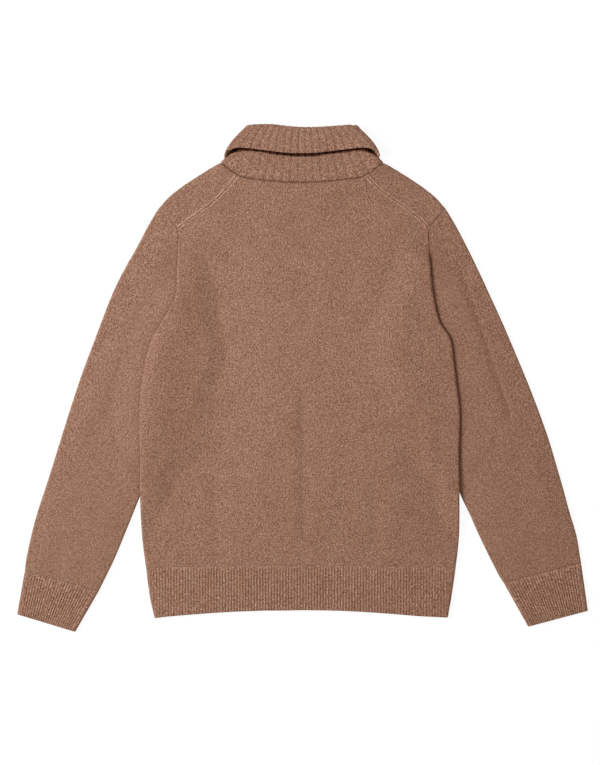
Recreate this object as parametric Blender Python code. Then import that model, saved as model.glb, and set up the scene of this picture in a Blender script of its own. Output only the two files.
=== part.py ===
"""A knitted turtleneck sweater, laid flat on its front with its back up.

Sizes are in millimetres and are built in metres. While the pieces are made, x runs across the sweater from
its centre line, y runs up it from the hem's corners, and z is the height above the surface it lies on. At the
end everything is moved so that the origin is the bottom centre of the whole sweater.
"""

import math
from collections import Counter

import bmesh
import bpy
from mathutils import Vector

MM = 0.001
LEFT, RIGHT = -1, 1

# Cloth
JERSEY = 3.0  # wall of the plain knit
BAND_CLOTH = 2.8  # wall of the hem and cuffs, between their ribs
COLLAR_CLOTH = 3.4  # wall of the collar, between its ribs
LAYER_GAP = 0.8  # air between two layers that lie on each other
SEAM_GAP = 0.3  # between two pieces at a seam
NECK_POINT_GAP = 0.9  # further between the collar and the front where both turn over the shoulder

# Ribs
HEM_RIBS = 101
CUFF_RIBS = 24
COLLAR_RIBS = 17  # across the back of the neck
BAND_RIB_HEIGHT = 0.9
COLLAR_RIB_HEIGHT = 0.9

# The visible edge of the body: the side fold from the hem to the underarm, then the armhole.
# height above the hem, distance from the centre line on the left, the same on the right
BODY_EDGE = [
    (0, 229, 226.5),
    (31, 236, 233.5),
    (74, 242, 240.5),
    (124, 248, 244.5),
    (186, 251, 243),
    (251, 251, 243.5),
    (314, 252, 245),
    (360, 248, 240),
    (400, 241, 235),
    (430, 232, 230),
    (456, 217, 214),
    (477, 205, 208),
    (498, 195, 204),
    (521, 194, 201),
    (552, 193, 199),
    (583, 192, 197),
    (601, 192, 196),
]
# The hem's lower edge, which is higher at the centre: distance across, height
HEM_EDGE = [
    (-229, -1.5),
    (-205, 0.9),
    (-127, 6.2),
    (-60, 9.4),
    (0, 10.4),
    (60, 8.6),
    (121, 5.1),
    (183, 1.1),
    (226.5, -2),
]
BAND_TOP = 74.0  # top of the hem's rib at the sides
BAND_TOP_RISE = 4.6
SHOULDER_TIP = (223, 631)  # where the shoulder seam of the sleeve meets the outline
NECK_POINT = (125.5, 703)  # where the collar meets the outline
BACK_NECK_CORNER = 99.0  # distance from the centre line where the shoulder seam meets the collar

# The back neck seam: distance from the centre line, height
BACK_NECK = [(0, 672), (32, 673.5), (63, 676.5), (90, 680), (103.5, 686), (115, 694.5), (125.5, 703)]
# The shoulder seam on the back, from the armhole to the neck: height, left, right
SHOULDER_SEAM = [
    (601, 192, 196),
    (612, 178, 187),
    (622, 163.5, 175),
    (639, 141, 152.5),
    (650, 128, 136),
    (661, 118.5, 121.5),
    (672, 108.5, 110),
    (684, 99, 99),
]
FRONT_NECK_DEPTH = 637  # height of the front neck seam at the centre
FRONT_NECK_POWER = 2.2

# The outline of the shoulder: distance from the centre line, height
SHOULDER_LINE = [
    (223, 631),
    (211, 645),
    (201.5, 654),
    (185, 666.5),
    (166, 679),
    (147, 691),
    (136.5, 697),
    (125.5, 703),
]

# The sleeve's outer edge, from the shoulder to the top of the cuff: height, left, right
SLEEVE_OUTER = [
    (631, 223, 223),
    (608, 237, 237),
    (570, 257, 257),
    (533, 277, 275),
    (496, 294, 292),
    (459, 310, 309),
    (422, 324, 325),
    (384, 338, 341),
    (347, 350, 356),
    (310, 361, 370),
    (273, 373, 383),
    (236, 386, 394),
    (198, 398, 405),
    (161, 409, 415),
    (124, 418, 426),
    (87, 426, 432),
    (70, 429, 434),
]
# The sleeve's inner edge, from where it starts under the body to the top of the cuff
SLEEVE_INNER = [
    (402, 154, 156),
    (330, 187, 189),
    (260, 219, 219),
    (186, 251, 249),
    (161, 261, 261),
    (124, 276, 276),
    (87, 293, 293),
    (50, 312, 312),
    (38, 318, 320),
]
# Where the sleeve's top end lies under the edge of the body
TUCK = [(545, 193, 198), (528, 187, 191), (490, 177, 180), (443, 164, 166), (402, 154, 156)]
# The cuffs: outer end of the top, inner end of the top, outer corner, inner corner, each across and up
CUFF = {
    LEFT: ((428.5, 69.5), (317, 39), (440.5, 5), (351, -22.5)),
    RIGHT: ((433, 82), (313, 51), (443, 10.5), (349.5, -14.5)),
}

# The sleeve passes under the side of the body, which is lifted over it
TUCK_LIFT = 7.2
TUCK_MARGIN = 12.0
TUCK_RAMP = 44.0
STEP_TOP, STEP_BOTTOM = 582.0, 548.0  # the armhole's edge climbs onto the sleeve between these heights
EDGE_RIDGE = 1.8  # the body's edge stands a little higher still
RIDGE_WIDTH = 20.0

# The front of the turned-down collar lies under the front of the body, which is lifted over it
NECK_LIFT = 3.9
NECK_MARGIN = 12.0
NECK_RAMP = 36.0

# The turned-down collar
FALL_FRONT_DEPTH = 659.0  # height of its free edge at the centre of the front
FALL_FRONT_RISE = 49.0
FALL_WIDTH = 121.0  # half its width at the free edge
FOLD_WIDTH = 87.5  # half its width at the fold
# The top of the fold at the back, which is lowest right of the centre: distance across, height
FOLD_BACK = [
    (-84, 762.3),
    (-48, 761.8),
    (-36, 760.5),
    (-15, 758.2),
    (5, 757.2),
    (28, 757.8),
    (59, 760),
    (84, 762),
]
FOLD_FRONT = 739.0
FOLD_SIDE = 757.0
FALL_SIDE = {LEFT: 711.5, RIGHT: 712.5}
FOLD_SIDE_REACH = 4.0  # the stand is this much narrower at each side than the fold
FOLD_GAP = 2.0  # air between the two standing layers at the fold
FOLD_LEAN = 0.4  # how much the fold follows the lean of the sides
FALL_SIDE_BOW = 4.0
STAND_SIDE_BOW = -6.0  # the sides of the stand go in, most of all a quarter of the way up
RIBS_STRAIGHT = 0.86
FALL_EDGE_LIFT = 3.2  # how far the free edge stands off at the back
# The free edge at the back: distance from the centre line, height
FALL_BACK = [(0, 714.6), (20, 715), (47, 718), (75, 721.5), (101, 724), (111, 722.5)]

# Soft troughs in the back: start across and up, end across and up, half width, depth
BACK_TROUGHS = [
    (0, 395, 2, 130, 9, 1.1),
    (-135, 215, -132, 84, 12, 0.9),
    (113, 200, 112, 112, 10, 0.8),
    (180, 320, 176, 232, 13, 0.9),
    (-158, 560, -150, 300, 26, 0.9),
    (146, 555, 186, 440, 20, 0.8),
    (-62, 640, -96, 560, 18, 0.6),
]
PUFF = 1.5  # the layers of the body stand this much further apart away from their edges
PUFF_WIDTH = 34.0
# Soft troughs in the sleeves, on the side named first
SLEEVE_TROUGHS = [
    (RIGHT, 246, 533, 322, 312, 9, 1.3),
    (RIGHT, 330, 250, 352, 170, 12, 0.7),
    (LEFT, 262, 520, 318, 402, 14, 0.8),
    (LEFT, 318, 300, 352, 214, 12, 0.8),
]
SLEEVE_CROWN = 2.2  # a sleeve is this much thicker along its middle

# How finely the pieces are divided
EDGE_TURN = (0, 45, 90)  # degrees round a folded edge
BODY_COLUMNS, BODY_ROW_STEP = 20, 27.0
ARMHOLE_ROWS = (534, 548, 560, 571, 582, 601)
BACK_SHOULDER_ROWS, FRONT_SHOULDER_ROWS = 6, 6
STRIP_COLUMNS = 3
SLEEVE_ROWS, SLEEVE_COLUMNS = 16, 8
CUFF_ROWS = 2
HEM_ROWS = 2
COLLAR_FRONT_COLUMNS = 14
FOLD_TURN = (36, 72, 108, 144)  # degrees over the fold of the collar
STAND_STEPS = (0.0, 0.12, 0.35, 0.65, 1.0)
FALL_STEPS = (0.0, 0.25, 0.5, 0.75, 1.0)

YARN = {"jersey": (0.33, 0.185, 0.125), "band": (0.30, 0.165, 0.11), "collar": (0.32, 0.18, 0.12)}
WOOL_ROUGHNESS = 0.95


# ---------------------------------------------------------------------------------------------------------
# Curves
# ---------------------------------------------------------------------------------------------------------


def ease(share):
    """0 to 1 with a flat start and a flat end."""
    share = min(1.0, max(0.0, share))
    return share * share * (3 - 2 * share)


def mix(a, b, share):
    return tuple(p + (q - p) * share for p, q in zip(a, b))


def curve_through(table, at, column=1):
    """A smooth curve through a table's rows: the value in that column where the first column is at."""
    rows = sorted(table)
    at = min(max(at, rows[0][0]), rows[-1][0])
    i = next(k for k in range(len(rows) - 1) if at <= rows[k + 1][0])

    def slope(k):
        before, after = rows[max(k - 1, 0)], rows[min(k + 1, len(rows) - 1)]
        return (after[column] - before[column]) / (after[0] - before[0])

    (x0, x1), (y0, y1) = (rows[i][0], rows[i + 1][0]), (rows[i][column], rows[i + 1][column])
    span, t = x1 - x0, (at - x0) / (x1 - x0)
    return (
        (1 + 2 * t) * (1 - t) ** 2 * y0
        + t * (1 - t) ** 2 * span * slope(i)
        + t * t * (3 - 2 * t) * y1
        + t * t * (t - 1) * span * slope(i + 1)
    )


def along(path, share):
    """The point that share of the way along a path of points."""
    lengths = [math.dist(a, b) for a, b in zip(path, path[1:])]
    rest = share * sum(lengths)
    for a, b, length in zip(path, path[1:], lengths):
        if rest <= length:
            return mix(a, b, rest / length)
        rest -= length
    return path[-1]


def side_of(table, height, side):
    return side * curve_through(table, height, 1 if side == LEFT else 2)


def off_segment(x, y, ax, ay, bx, by):
    """Distance from a point to a line between two points."""
    dx, dy = bx - ax, by - ay
    share = min(1.0, max(0.0, ((x - ax) * dx + (y - ay) * dy) / (dx * dx + dy * dy)))
    return math.hypot(x - ax - share * dx, y - ay - share * dy)


# ---------------------------------------------------------------------------------------------------------
# Heights
# ---------------------------------------------------------------------------------------------------------


def body_edge(height, side):
    return side_of(BODY_EDGE, height, side)


def back_neck(x):
    return curve_through(BACK_NECK, abs(x))


def front_neck(x):
    width, height = NECK_POINT
    share = min(1.0, abs(x) / width) ** FRONT_NECK_POWER
    return FRONT_NECK_DEPTH + (height - FRONT_NECK_DEPTH) * share


def fall_front(x):
    """The free edge of the turned-down collar, under the front."""
    width = FALL_WIDTH - 8
    return FALL_FRONT_DEPTH + FALL_FRONT_RISE * min(1.0, abs(x) / width) ** 2


def step_share(height):
    """1 where the body's edge lies on the sleeve, 0 where the two are sewn edge to edge."""
    return 1 - ease((height - STEP_BOTTOM) / (STEP_TOP - STEP_BOTTOM))


def hidden_sleeve_edge(height, side):
    if height > TUCK[-1][0]:
        return side_of(TUCK, height, side)
    return side_of(SLEEVE_INNER, height, side)


def tuck_lift(x, y):
    """How far the body is lifted over the sleeve that lies under its side."""
    side = LEFT if x < 0 else RIGHT
    lowest = SLEEVE_INNER[-1][0]
    past = abs(hidden_sleeve_edge(max(y, lowest), side)) - TUCK_MARGIN - abs(x)
    clear = 1 - ease(past / TUCK_RAMP)
    to_edge = abs(body_edge(max(y, 0), side)) - abs(x)
    ridge = EDGE_RIDGE * math.exp(-((to_edge / RIDGE_WIDTH) ** 2))
    return step_share(y) * clear * (TUCK_LIFT + ridge)


def neck_lift(x, y):
    """How far the front is lifted over the turned-down collar under it."""
    below = max(0.0, fall_front(x) - y)
    beside = max(0.0, abs(x) - (FALL_WIDTH - 8))
    return NECK_LIFT * (1 - ease((math.hypot(below, beside) - NECK_MARGIN) / NECK_RAMP))


def ground(x, y):
    """Height of the underside of the body."""
    return tuck_lift(x, y) + neck_lift(x, y)


def body_gap(x, y):
    """Air between the front and the back."""
    side = LEFT if x < 0 else RIGHT
    edge = abs(body_edge(min(max(y, 0), BODY_EDGE[-1][0]), side))
    puff = PUFF * ease((edge - abs(x)) / PUFF_WIDTH)
    for ax, ay, bx, by, width, depth in BACK_TROUGHS:
        puff -= depth * math.exp(-((off_segment(x, y, ax, ay, bx, by) / width) ** 2))
    return LAYER_GAP + max(0.0, puff)


def sleeve_height(x, y, share, side):
    """Thickness of a sleeve, both layers together, that share of the way across it."""
    edge = abs(body_edge(min(max(y, 0), BODY_EDGE[-1][0]), side))
    shown = ease((abs(x) - edge) / 30) if y < STEP_TOP else 1.0
    crown = SLEEVE_CROWN * math.sin(math.pi * share) * shown
    for trough_side, ax, ay, bx, by, width, depth in SLEEVE_TROUGHS:
        if trough_side == side:
            crown -= depth * shown * math.exp(-((off_segment(abs(x), y, ax, ay, bx, by) / width) ** 2))
    return 2 * JERSEY + LAYER_GAP * 0.7 + max(0.0, crown)


# ---------------------------------------------------------------------------------------------------------
# Walls
# ---------------------------------------------------------------------------------------------------------


def wool(name, colour):
    material = bpy.data.materials.new(name)
    material.use_nodes = True
    shader = material.node_tree.nodes["Principled BSDF"]
    shader.inputs["Base Color"].default_value = (*colour, 1)
    shader.inputs["Roughness"].default_value = WOOL_ROUGHNESS
    shader.inputs["Metallic"].default_value = 0
    return material


def wall(name, material, points, cells):
    """A closed wall of cloth. Each key in points has an outer and an inner point, and each cell is four keys.
    Edges that only one cell uses are closed with a rim."""
    mesh = bmesh.new()
    faces = {
        key: [mesh.verts.new([c * MM for c in point]) for point in pair] for key, pair in points.items()
    }
    edges = Counter()
    for cell in cells:
        mesh.faces.new([faces[key][0] for key in cell])
        mesh.faces.new([faces[key][1] for key in reversed(cell)])
        edges.update(zip(cell, cell[1:] + cell[:1]))
    for a, b in edges:
        if (b, a) not in edges:
            mesh.faces.new([faces[b][0], faces[a][0], faces[a][1], faces[b][1]])
    bmesh.ops.recalc_face_normals(mesh, faces=mesh.faces)
    data = bpy.data.meshes.new(name)
    mesh.to_mesh(data)
    mesh.free()
    data.materials.append(material)
    data.shade_smooth()
    piece = bpy.data.objects.new(name, data)
    bpy.context.scene.collection.objects.link(piece)
    return piece


def grid_cells(rows, columns, closed=False):
    """The cells of a grid of keys (row, column), which may close on itself sideways."""
    last = columns if closed else columns - 1
    return [
        ((i, j), (i, (j + 1) % columns), (i + 1, (j + 1) % columns), (i + 1, j))
        for i in range(rows - 1)
        for j in range(last)
    ]


def zigzag(step):
    """1 on a rib and 0 between two, with one step from one to the other."""
    return step % 2


# ---------------------------------------------------------------------------------------------------------
# Body
# ---------------------------------------------------------------------------------------------------------


def row_shares(width, radius, inner_columns):
    """How far along a row its columns are: close together round the two folded edges."""
    turn = [radius * (1 - math.cos(math.radians(a))) / width for a in EDGE_TURN]
    middle = [
        turn[-1] + (1 - 2 * turn[-1]) * k / inner_columns for k in range(1, inner_columns)
    ]
    return turn + middle + [1 - t for t in reversed(turn)]


def edge_angle(column, columns):
    """The angle in radians round the folded edge at a column, or None away from the edges."""
    near = min(column, columns - 1 - column)
    return math.radians(EDGE_TURN[near]) if near < len(EDGE_TURN) else None


def panel_pair(x, y, level, cloth, angle, roll, gap, raised=0.0, inward=None):
    """Outer and inner point of one layer of the body. level is 1 for the back and -1 for the front, and inward
    is the way from the folded edge into the body."""
    under = ground(x, y)
    half = cloth + gap / 2
    middle = under + half
    outer_flat = middle + level * (half + raised)
    inner_flat = outer_flat - level * (cloth + raised)
    if angle is None:
        return (x, y, outer_flat), (x, y, inner_flat)
    inward = inward or (-math.copysign(1, x), 0.0)
    seam = level * SEAM_GAP / 2
    outer_rolled = max(seam, half * math.sin(angle)) if level > 0 else min(seam, -half * math.sin(angle))
    core = half - cloth
    inner_rolled = level * max(SEAM_GAP / 2, core * math.sin(angle))
    shift = (half - core) * math.cos(angle) * roll
    outer = (x, y, outer_flat + (middle + outer_rolled - outer_flat) * roll)
    inner_z = inner_flat + (middle + inner_rolled - inner_flat) * roll
    inner = (x + inward[0] * shift, y + inward[1] * shift, inner_z)
    return outer, inner


def heights_up_to(start, end, step):
    count = max(1, round((end - start) / step))
    return [start + (end - start) * k / count for k in range(count + 1)]


def band_top_rise(share):
    return BAND_TOP_RISE * 4 * share * (1 - share)


def body_heights():
    """The rows that the back and the front share, from the hem's rib to the top of the armhole."""
    return heights_up_to(BAND_TOP + SEAM_GAP, ARMHOLE_ROWS[0], BODY_ROW_STEP)[:-1] + list(ARMHOLE_ROWS)


def band_bend(height, share):
    """How much higher a row's middle is near the hem's rib, which is bent."""
    return (1 - ease((height - BAND_TOP) / 160)) * band_top_rise(share)


def make_back(material):
    """The back panel: a single layer that lies on the front, folded down at the sides."""
    heights = body_heights()
    armhole_top, neck_height = heights[-1], back_neck(BACK_NECK_CORNER) - SEAM_GAP
    rows = [(h, body_edge(h, LEFT), body_edge(h, RIGHT), 0.0) for h in heights]
    for k in range(1, BACK_SHOULDER_ROWS + 1):
        share = k / BACK_SHOULDER_ROWS
        height = armhole_top + (neck_height - armhole_top) * share
        left, right = (side_of(SHOULDER_SEAM, height, side) for side in (LEFT, RIGHT))
        rows.append((height, left, right, share))
    points, columns = {}, BODY_COLUMNS + 2 * len(EDGE_TURN) - 1
    for i, (height, left, right, share_up) in enumerate(rows):
        width = right - left
        fade = ease((height - 380) / (neck_height - 380))
        for j, share in enumerate(row_shares(width, JERSEY + LAYER_GAP / 2, BODY_COLUMNS)):
            x = left + width * share
            drop = back_neck(BACK_NECK_CORNER * (2 * share - 1)) - back_neck(BACK_NECK_CORNER)
            y = height + band_bend(height, share) + fade * drop
            angle = edge_angle(j, columns)
            points[i, j] = panel_pair(x, y, 1, JERSEY, angle, step_share(height), body_gap(x, y))
    return wall("back_panel", material, points, grid_cells(len(rows), columns))


def fold_inward(k, side):
    """The way from the folded outline of the shoulder into the body."""
    share = k / FRONT_SHOULDER_ROWS
    ax, ay = along(SHOULDER_LINE, max(0.0, share - 0.1))
    bx, by = along(SHOULDER_LINE, min(1.0, share + 0.1))
    length = math.hypot(bx - ax, by - ay)
    return (-side * (by - ay) / length, -(ax - bx) / length)


def strip_point(k, side, share):
    """A point on the strip of the front that is turned over the shoulder, from the fold to the shoulder seam."""
    fold = along(SHOULDER_LINE, k / FRONT_SHOULDER_ROWS)
    low, high = ARMHOLE_ROWS[-1], back_neck(BACK_NECK_CORNER)
    height = low + (high - low) * k / FRONT_SHOULDER_ROWS
    seam = (abs(side_of(SHOULDER_SEAM, height, side)), height)
    x, y = mix(fold, seam, share)
    if k == FRONT_SHOULDER_ROWS:
        y = back_neck(x) - SEAM_GAP - NECK_POINT_GAP * (1 - share)
    return side * x, y


def make_front(material):
    """The front panel, which lies under the back and is turned over the shoulders on to the back."""
    heights = body_heights()
    rows = [(h, body_edge(h, LEFT), body_edge(h, RIGHT), None) for h in heights]
    tip_x, tip_y = SHOULDER_TIP
    ends = [(body_edge(heights[-1], side) + side * tip_x) / 2 for side in (LEFT, RIGHT)]
    rows.append(((heights[-1] + tip_y) / 2, *ends, None))
    for k in range(FRONT_SHOULDER_ROWS + 1):
        x, y = along(SHOULDER_LINE, k / FRONT_SHOULDER_ROWS)
        rows.append((y, -x, x, k))
    points, columns = {}, BODY_COLUMNS + 2 * len(EDGE_TURN) - 1
    top = len(rows) - 1
    first_fold = top - FRONT_SHOULDER_ROWS
    neck_width, neck_height = NECK_POINT
    half = JERSEY + LAYER_GAP / 2
    for i, (height, left, right, k) in enumerate(rows):
        width = right - left
        fade = ease((i - first_fold + 6) / (top - first_fold + 6))
        for j, share in enumerate(row_shares(width, half, BODY_COLUMNS)):
            x = left + width * share
            drop = front_neck(neck_width * (2 * share - 1)) - neck_height - SEAM_GAP
            y = height + band_bend(height, share) + fade * drop
            angle = edge_angle(j, columns)
            roll, inward = step_share(height), None
            if k is not None and angle is not None:
                side = LEFT if share < 0.5 else RIGHT
                roll, inward = 1.0, fold_inward(k, side)
                reach = half * (1 - math.cos(angle))
                x = side * abs(left) + inward[0] * reach
                at_neck = k == FRONT_SHOULDER_ROWS
                y = height + inward[1] * reach - (SEAM_GAP + NECK_POINT_GAP) * at_neck
            points[i, j] = panel_pair(x, y, -1, JERSEY, angle, roll, body_gap(x, y), 0.0, inward)
    cells = grid_cells(len(rows), columns)
    for side in (LEFT, RIGHT):
        add_strip(points, cells, side, first_fold, 0 if side == LEFT else columns - 1)
    return wall("front_panel", material, points, cells)


def add_strip(points, cells, side, first_fold, edge_column):
    """Adds the strip that the front turns over one shoulder to the front's points and cells."""
    half = JERSEY + LAYER_GAP / 2
    turns = [("turn", side, a) for a in EDGE_TURN[1:]]
    strips = [("strip", side, k) for k in range(1, STRIP_COLUMNS + 1)]
    for k in range(FRONT_SHOULDER_ROWS + 1):
        length = math.dist(strip_point(k, side, 0), strip_point(k, side, 1))
        for name in turns + strips:
            angle, start = None, half / length
            share = start + (1 - start) * name[2] / STRIP_COLUMNS
            if name in turns:
                angle = math.radians(name[2])
                share = start * (1 - math.cos(angle))
            x, y = strip_point(k, side, share)
            if name == strips[-1]:
                x, y = x + side * SEAM_GAP, y + SEAM_GAP
            inward = fold_inward(k, side)
            points[first_fold + k, name] = panel_pair(x, y, 1, JERSEY, angle, 1.0, body_gap(x, y), 0.0, inward)
    joined = [edge_column] + turns + strips
    for i in range(first_fold, first_fold + FRONT_SHOULDER_ROWS):
        for a, b in zip(joined, joined[1:]):
            cell = ((i, b), (i, a), (i + 1, a), (i + 1, b))
            cells.append(cell if side == LEFT else tuple(reversed(cell)))


def hem_height(share):
    left, right = body_edge(0, LEFT), body_edge(0, RIGHT)
    return curve_through(HEM_EDGE, left + (right - left) * share)


def make_hem(name, material, level):
    """The ribbed band of the hem, on the back or on the front. The front's lies flat on the surface."""
    ribbed = level > 0
    inner_columns = 2 * HEM_RIBS if ribbed else 20
    points = {}
    for i in range(HEM_ROWS + 1):
        up = i / HEM_ROWS
        for j, share in enumerate(row_shares(470, JERSEY, inner_columns)):
            bottom, top = hem_height(share), BAND_TOP + band_top_rise(share)
            y = bottom + (top - bottom) * up
            left, right = body_edge(BAND_TOP * up, LEFT), body_edge(BAND_TOP * up, RIGHT)
            x = left + (right - left) * share
            near = min(j, inner_columns + 2 * len(EDGE_TURN) - 2 - j) < len(EDGE_TURN)
            raised = BAND_RIB_HEIGHT * zigzag(j) if ribbed and not near else 0.0
            angle = edge_angle(j, inner_columns + 2 * len(EDGE_TURN) - 1)
            points[i, j] = panel_pair(x, y, level, BAND_CLOTH, angle, 1.0, LAYER_GAP, raised)
    return wall(name, material, points, grid_cells(HEM_ROWS + 1, inner_columns + 2 * len(EDGE_TURN) - 1))


# ---------------------------------------------------------------------------------------------------------
# Sleeves
# ---------------------------------------------------------------------------------------------------------


def armhole_line(side):
    """The top end of a sleeve, from the tip of the shoulder to where the sleeve's inner edge starts."""
    corner_height = BODY_EDGE[-1][0]
    corner = (abs(body_edge(corner_height, side)), corner_height)
    shown = [SHOULDER_TIP, mix(SHOULDER_TIP, corner, 0.5), corner]
    shown += [(abs(body_edge(h, side)), h) for h in (592, 583, 568, 552)]
    hidden = [(abs(side_of(TUCK, h, side)), h) for h in (545, 528, 509, 490, 466, 443, 420, 402)]
    return [(x + SEAM_GAP * 1.2, y - SEAM_GAP * 0.8) for x, y in shown + hidden]


def edge_line(table, side, end):
    column = 1 if side == LEFT else 2
    heights = heights_up_to(end[1], table[0][0], 12)[::-1]
    return [(curve_through(table, h, column), h) for h in heights[:-1]] + [end]


def sleeve_sides(side):
    """The four edges of a flat sleeve: armhole, cuff, outer and inner, as functions of a share along each."""
    cuff_outer, cuff_inner = CUFF[side][:2]
    armhole = armhole_line(side)
    outer, inner = edge_line(SLEEVE_OUTER, side, cuff_outer), edge_line(SLEEVE_INNER, side, cuff_inner)
    outer[0], inner[0] = armhole[0], armhole[-1]
    return armhole, [cuff_outer, cuff_inner], outer, inner


def patch_point(edges, across, down):
    """A point inside four edges that meet at their corners, mixed from all four."""
    top, bottom, outer, inner = edges
    upper, lower = along(top, across), along(bottom, across)
    near, far = along(outer, down), along(inner, down)
    flat = mix(mix(top[0], top[-1], across), mix(bottom[0], bottom[-1], across), down)
    vertical, sideways = mix(upper, lower, down), mix(near, far, across)
    return tuple(v + s - f for v, s, f in zip(vertical, sideways, flat))


def cuff_edges(side):
    outer_top, inner_top, outer_low, inner_low = CUFF[side]
    return [outer_top, inner_top], [outer_low, inner_low], [outer_top, outer_low], [inner_top, inner_low]


def tube_loop(width, half, run_columns, under_columns):
    """The columns of a flattened tube: share across, layer (1 above, -1 below) and angle round the edges."""
    turn = [(half * (1 - math.cos(math.radians(a))) / width, a) for a in EDGE_TURN]
    start = turn[-1][0]
    span = 1 - 2 * start
    above = [(start + span * k / run_columns, 1, None) for k in range(1, run_columns)]
    below = [(start + span * k / under_columns, -1, None) for k in range(under_columns - 1, 0, -1)]
    up = [(s, 1, a) for s, a in turn]
    down = [(1 - s, 1, a) for s, a in reversed(turn)]
    under_right = [(1 - s, -1, a) for s, a in turn[1:]]
    under_left = [(s, -1, a) for s, a in reversed(turn[1:])]
    return up + above + down + under_right + below + under_left


def tube_pair(edges, side, loop_step, down, cloth, height_at, raised):
    """Outer and inner point of a flattened tube that lies on the surface."""
    share, layer, angle = loop_step
    x, y = patch_point(edges, share, down)
    height = height_at(side * x, y, share, side)
    half, core = height / 2, height / 2 - cloth
    if angle is None:
        outer_z = height + raised if layer > 0 else 0.0
        inner_z = half + layer * core
        return (side * x, y, outer_z), (side * x, y, inner_z)
    turn = math.radians(angle)
    ahead = patch_point(edges, min(1.0, share + 0.01) if share < 0.5 else max(0.0, share - 0.01), down)
    length = math.dist(ahead, (x, y)) or 1.0
    inward = cloth * math.cos(turn) / length
    inner_xy = (x + (ahead[0] - x) * inward, y + (ahead[1] - y) * inward)
    outer_z = half + layer * half * math.sin(turn)
    inner_z = half + layer * core * math.sin(turn)
    return (side * x, y, outer_z), (side * inner_xy[0], inner_xy[1], inner_z)


def make_tube(name, material, side, edges, grid, cloth, height_at, rib=0.0, gap=0.0):
    """A flattened tube of cloth, ribbed on its upper face where rib isn't 0. grid is how many cells it has along
    it, across its upper face and across its lower face, and gap parts its top from a seam."""
    rows, run_columns, under_columns = grid
    points, columns = {}, 0
    for i in range(rows + 1):
        down = gap + (1 - gap) * i / rows
        width = math.dist(patch_point(edges, 0, down), patch_point(edges, 1, down))
        loop = tube_loop(width, cloth + LAYER_GAP / 2, run_columns, under_columns)
        columns = len(loop)
        for j, step in enumerate(loop):
            on_rib = rib * zigzag(j - len(EDGE_TURN) + 1) if step[1] > 0 and step[2] is None else 0.0
            points[i, j] = tube_pair(edges, side, step, down, cloth, height_at, on_rib)
    return wall(name, material, points, grid_cells(rows + 1, columns, closed=True))


def cuff_height(x, y, share, side):
    return 2 * BAND_CLOTH + LAYER_GAP * 0.7


def make_sleeve(material, side, word):
    grid = (SLEEVE_ROWS, SLEEVE_COLUMNS, 6)
    return make_tube(f"sleeve_{word}", material, side, sleeve_sides(side), grid, JERSEY, sleeve_height)


def make_cuff(material, side, word):
    grid, gap, name = (CUFF_ROWS, 2 * CUFF_RIBS, 8), SEAM_GAP / 65, f"cuff_{word}"
    return make_tube(name, material, side, cuff_edges(side), grid, BAND_CLOTH, cuff_height, BAND_RIB_HEIGHT, gap)


# ---------------------------------------------------------------------------------------------------------
# Collar
# ---------------------------------------------------------------------------------------------------------


def collar_columns():
    """The columns round the neck: which run they are on, and the share along it or the angle round its end."""
    steps = 3 * COLLAR_RIBS
    back = [("back", k / steps) for k in range(steps + 1)]
    front = [("front", 1 - k / COLLAR_FRONT_COLUMNS) for k in range(COLLAR_FRONT_COLUMNS + 1)]
    turn = (60, 25, -25, -60)
    right = [("right", a) for a in turn]
    left = [("left", a) for a in reversed(turn)]
    return back + right + front + left


def fanned(share):
    """Where a rib ends, as a share across: the middle ones run almost straight up, the outer ones lean out."""
    across = 2 * share - 1
    return across * (RIBS_STRAIGHT + (1 - RIBS_STRAIGHT) * across * across)


def loop_point(column, width, radius, middle, back_at, front_at, side_at, fan):
    """A point on a flattened loop round the neck: width is half its width, radius half its height."""
    run, at = column
    straight = width - radius
    if run in ("back", "front"):
        x = straight * (fanned(at) if fan else 2 * at - 1)
        layer = 1 if run == "back" else -1
        y = back_at(x) if run == "back" else front_at(x)
        return (x, y, middle(x, y) + layer * radius)
    turn = math.radians(at)
    side = RIGHT if run == "right" else LEFT
    x = side * (straight + radius * math.cos(turn))
    end = back_at(straight) if at > 0 else front_at(straight)
    y = side_at[side] + (end - side_at[side]) * ease(abs(math.sin(turn)))
    return (x, y, middle(x, y) + radius * math.sin(turn))


def stand_foot(column):
    """The middle of the cloth at the neck seam."""
    radius = (COLLAR_CLOTH + LAYER_GAP) / 2
    width = NECK_POINT[0] - COLLAR_CLOTH / 2
    middle = COLLAR_CLOTH + LAYER_GAP / 2
    return loop_point(
        column, width, radius, lambda x, y: ground(x, y) + middle, back_neck, front_neck,
        {LEFT: NECK_POINT[1], RIGHT: NECK_POINT[1]}, True,
    )


def fold_radius(column):
    """Half the distance from the standing to the turned-down cloth, wider where the ribs are raised."""
    run, at = column
    plain, ribbed = (COLLAR_CLOTH + SEAM_GAP) / 2, (COLLAR_CLOTH + COLLAR_RIB_HEIGHT + 2 * SEAM_GAP) / 2
    if run == "front":
        return plain
    if run == "back":
        return ribbed
    turn = math.radians(at)
    return plain + (ribbed - plain) * (1 + math.sin(turn)) / 2 + 0.5 * math.cos(turn)


def stand_top(column):
    """The middle of the cloth where the stand starts to fold over."""
    radius = (COLLAR_CLOTH + FOLD_GAP) / 2
    reach = fold_radius(column) + COLLAR_CLOTH / 2
    width = FOLD_WIDTH - FOLD_SIDE_REACH
    middle = NECK_LIFT + COLLAR_CLOTH + FOLD_GAP / 2
    return loop_point(
        column, width, radius, lambda x, y: middle,
        lambda x: curve_through(FOLD_BACK, x) - reach,
        lambda x: FOLD_FRONT + (FOLD_SIDE - FOLD_FRONT) * (x / width) ** 4 - reach,
        {LEFT: FOLD_SIDE - reach, RIGHT: FOLD_SIDE - reach}, False,
    )


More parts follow.
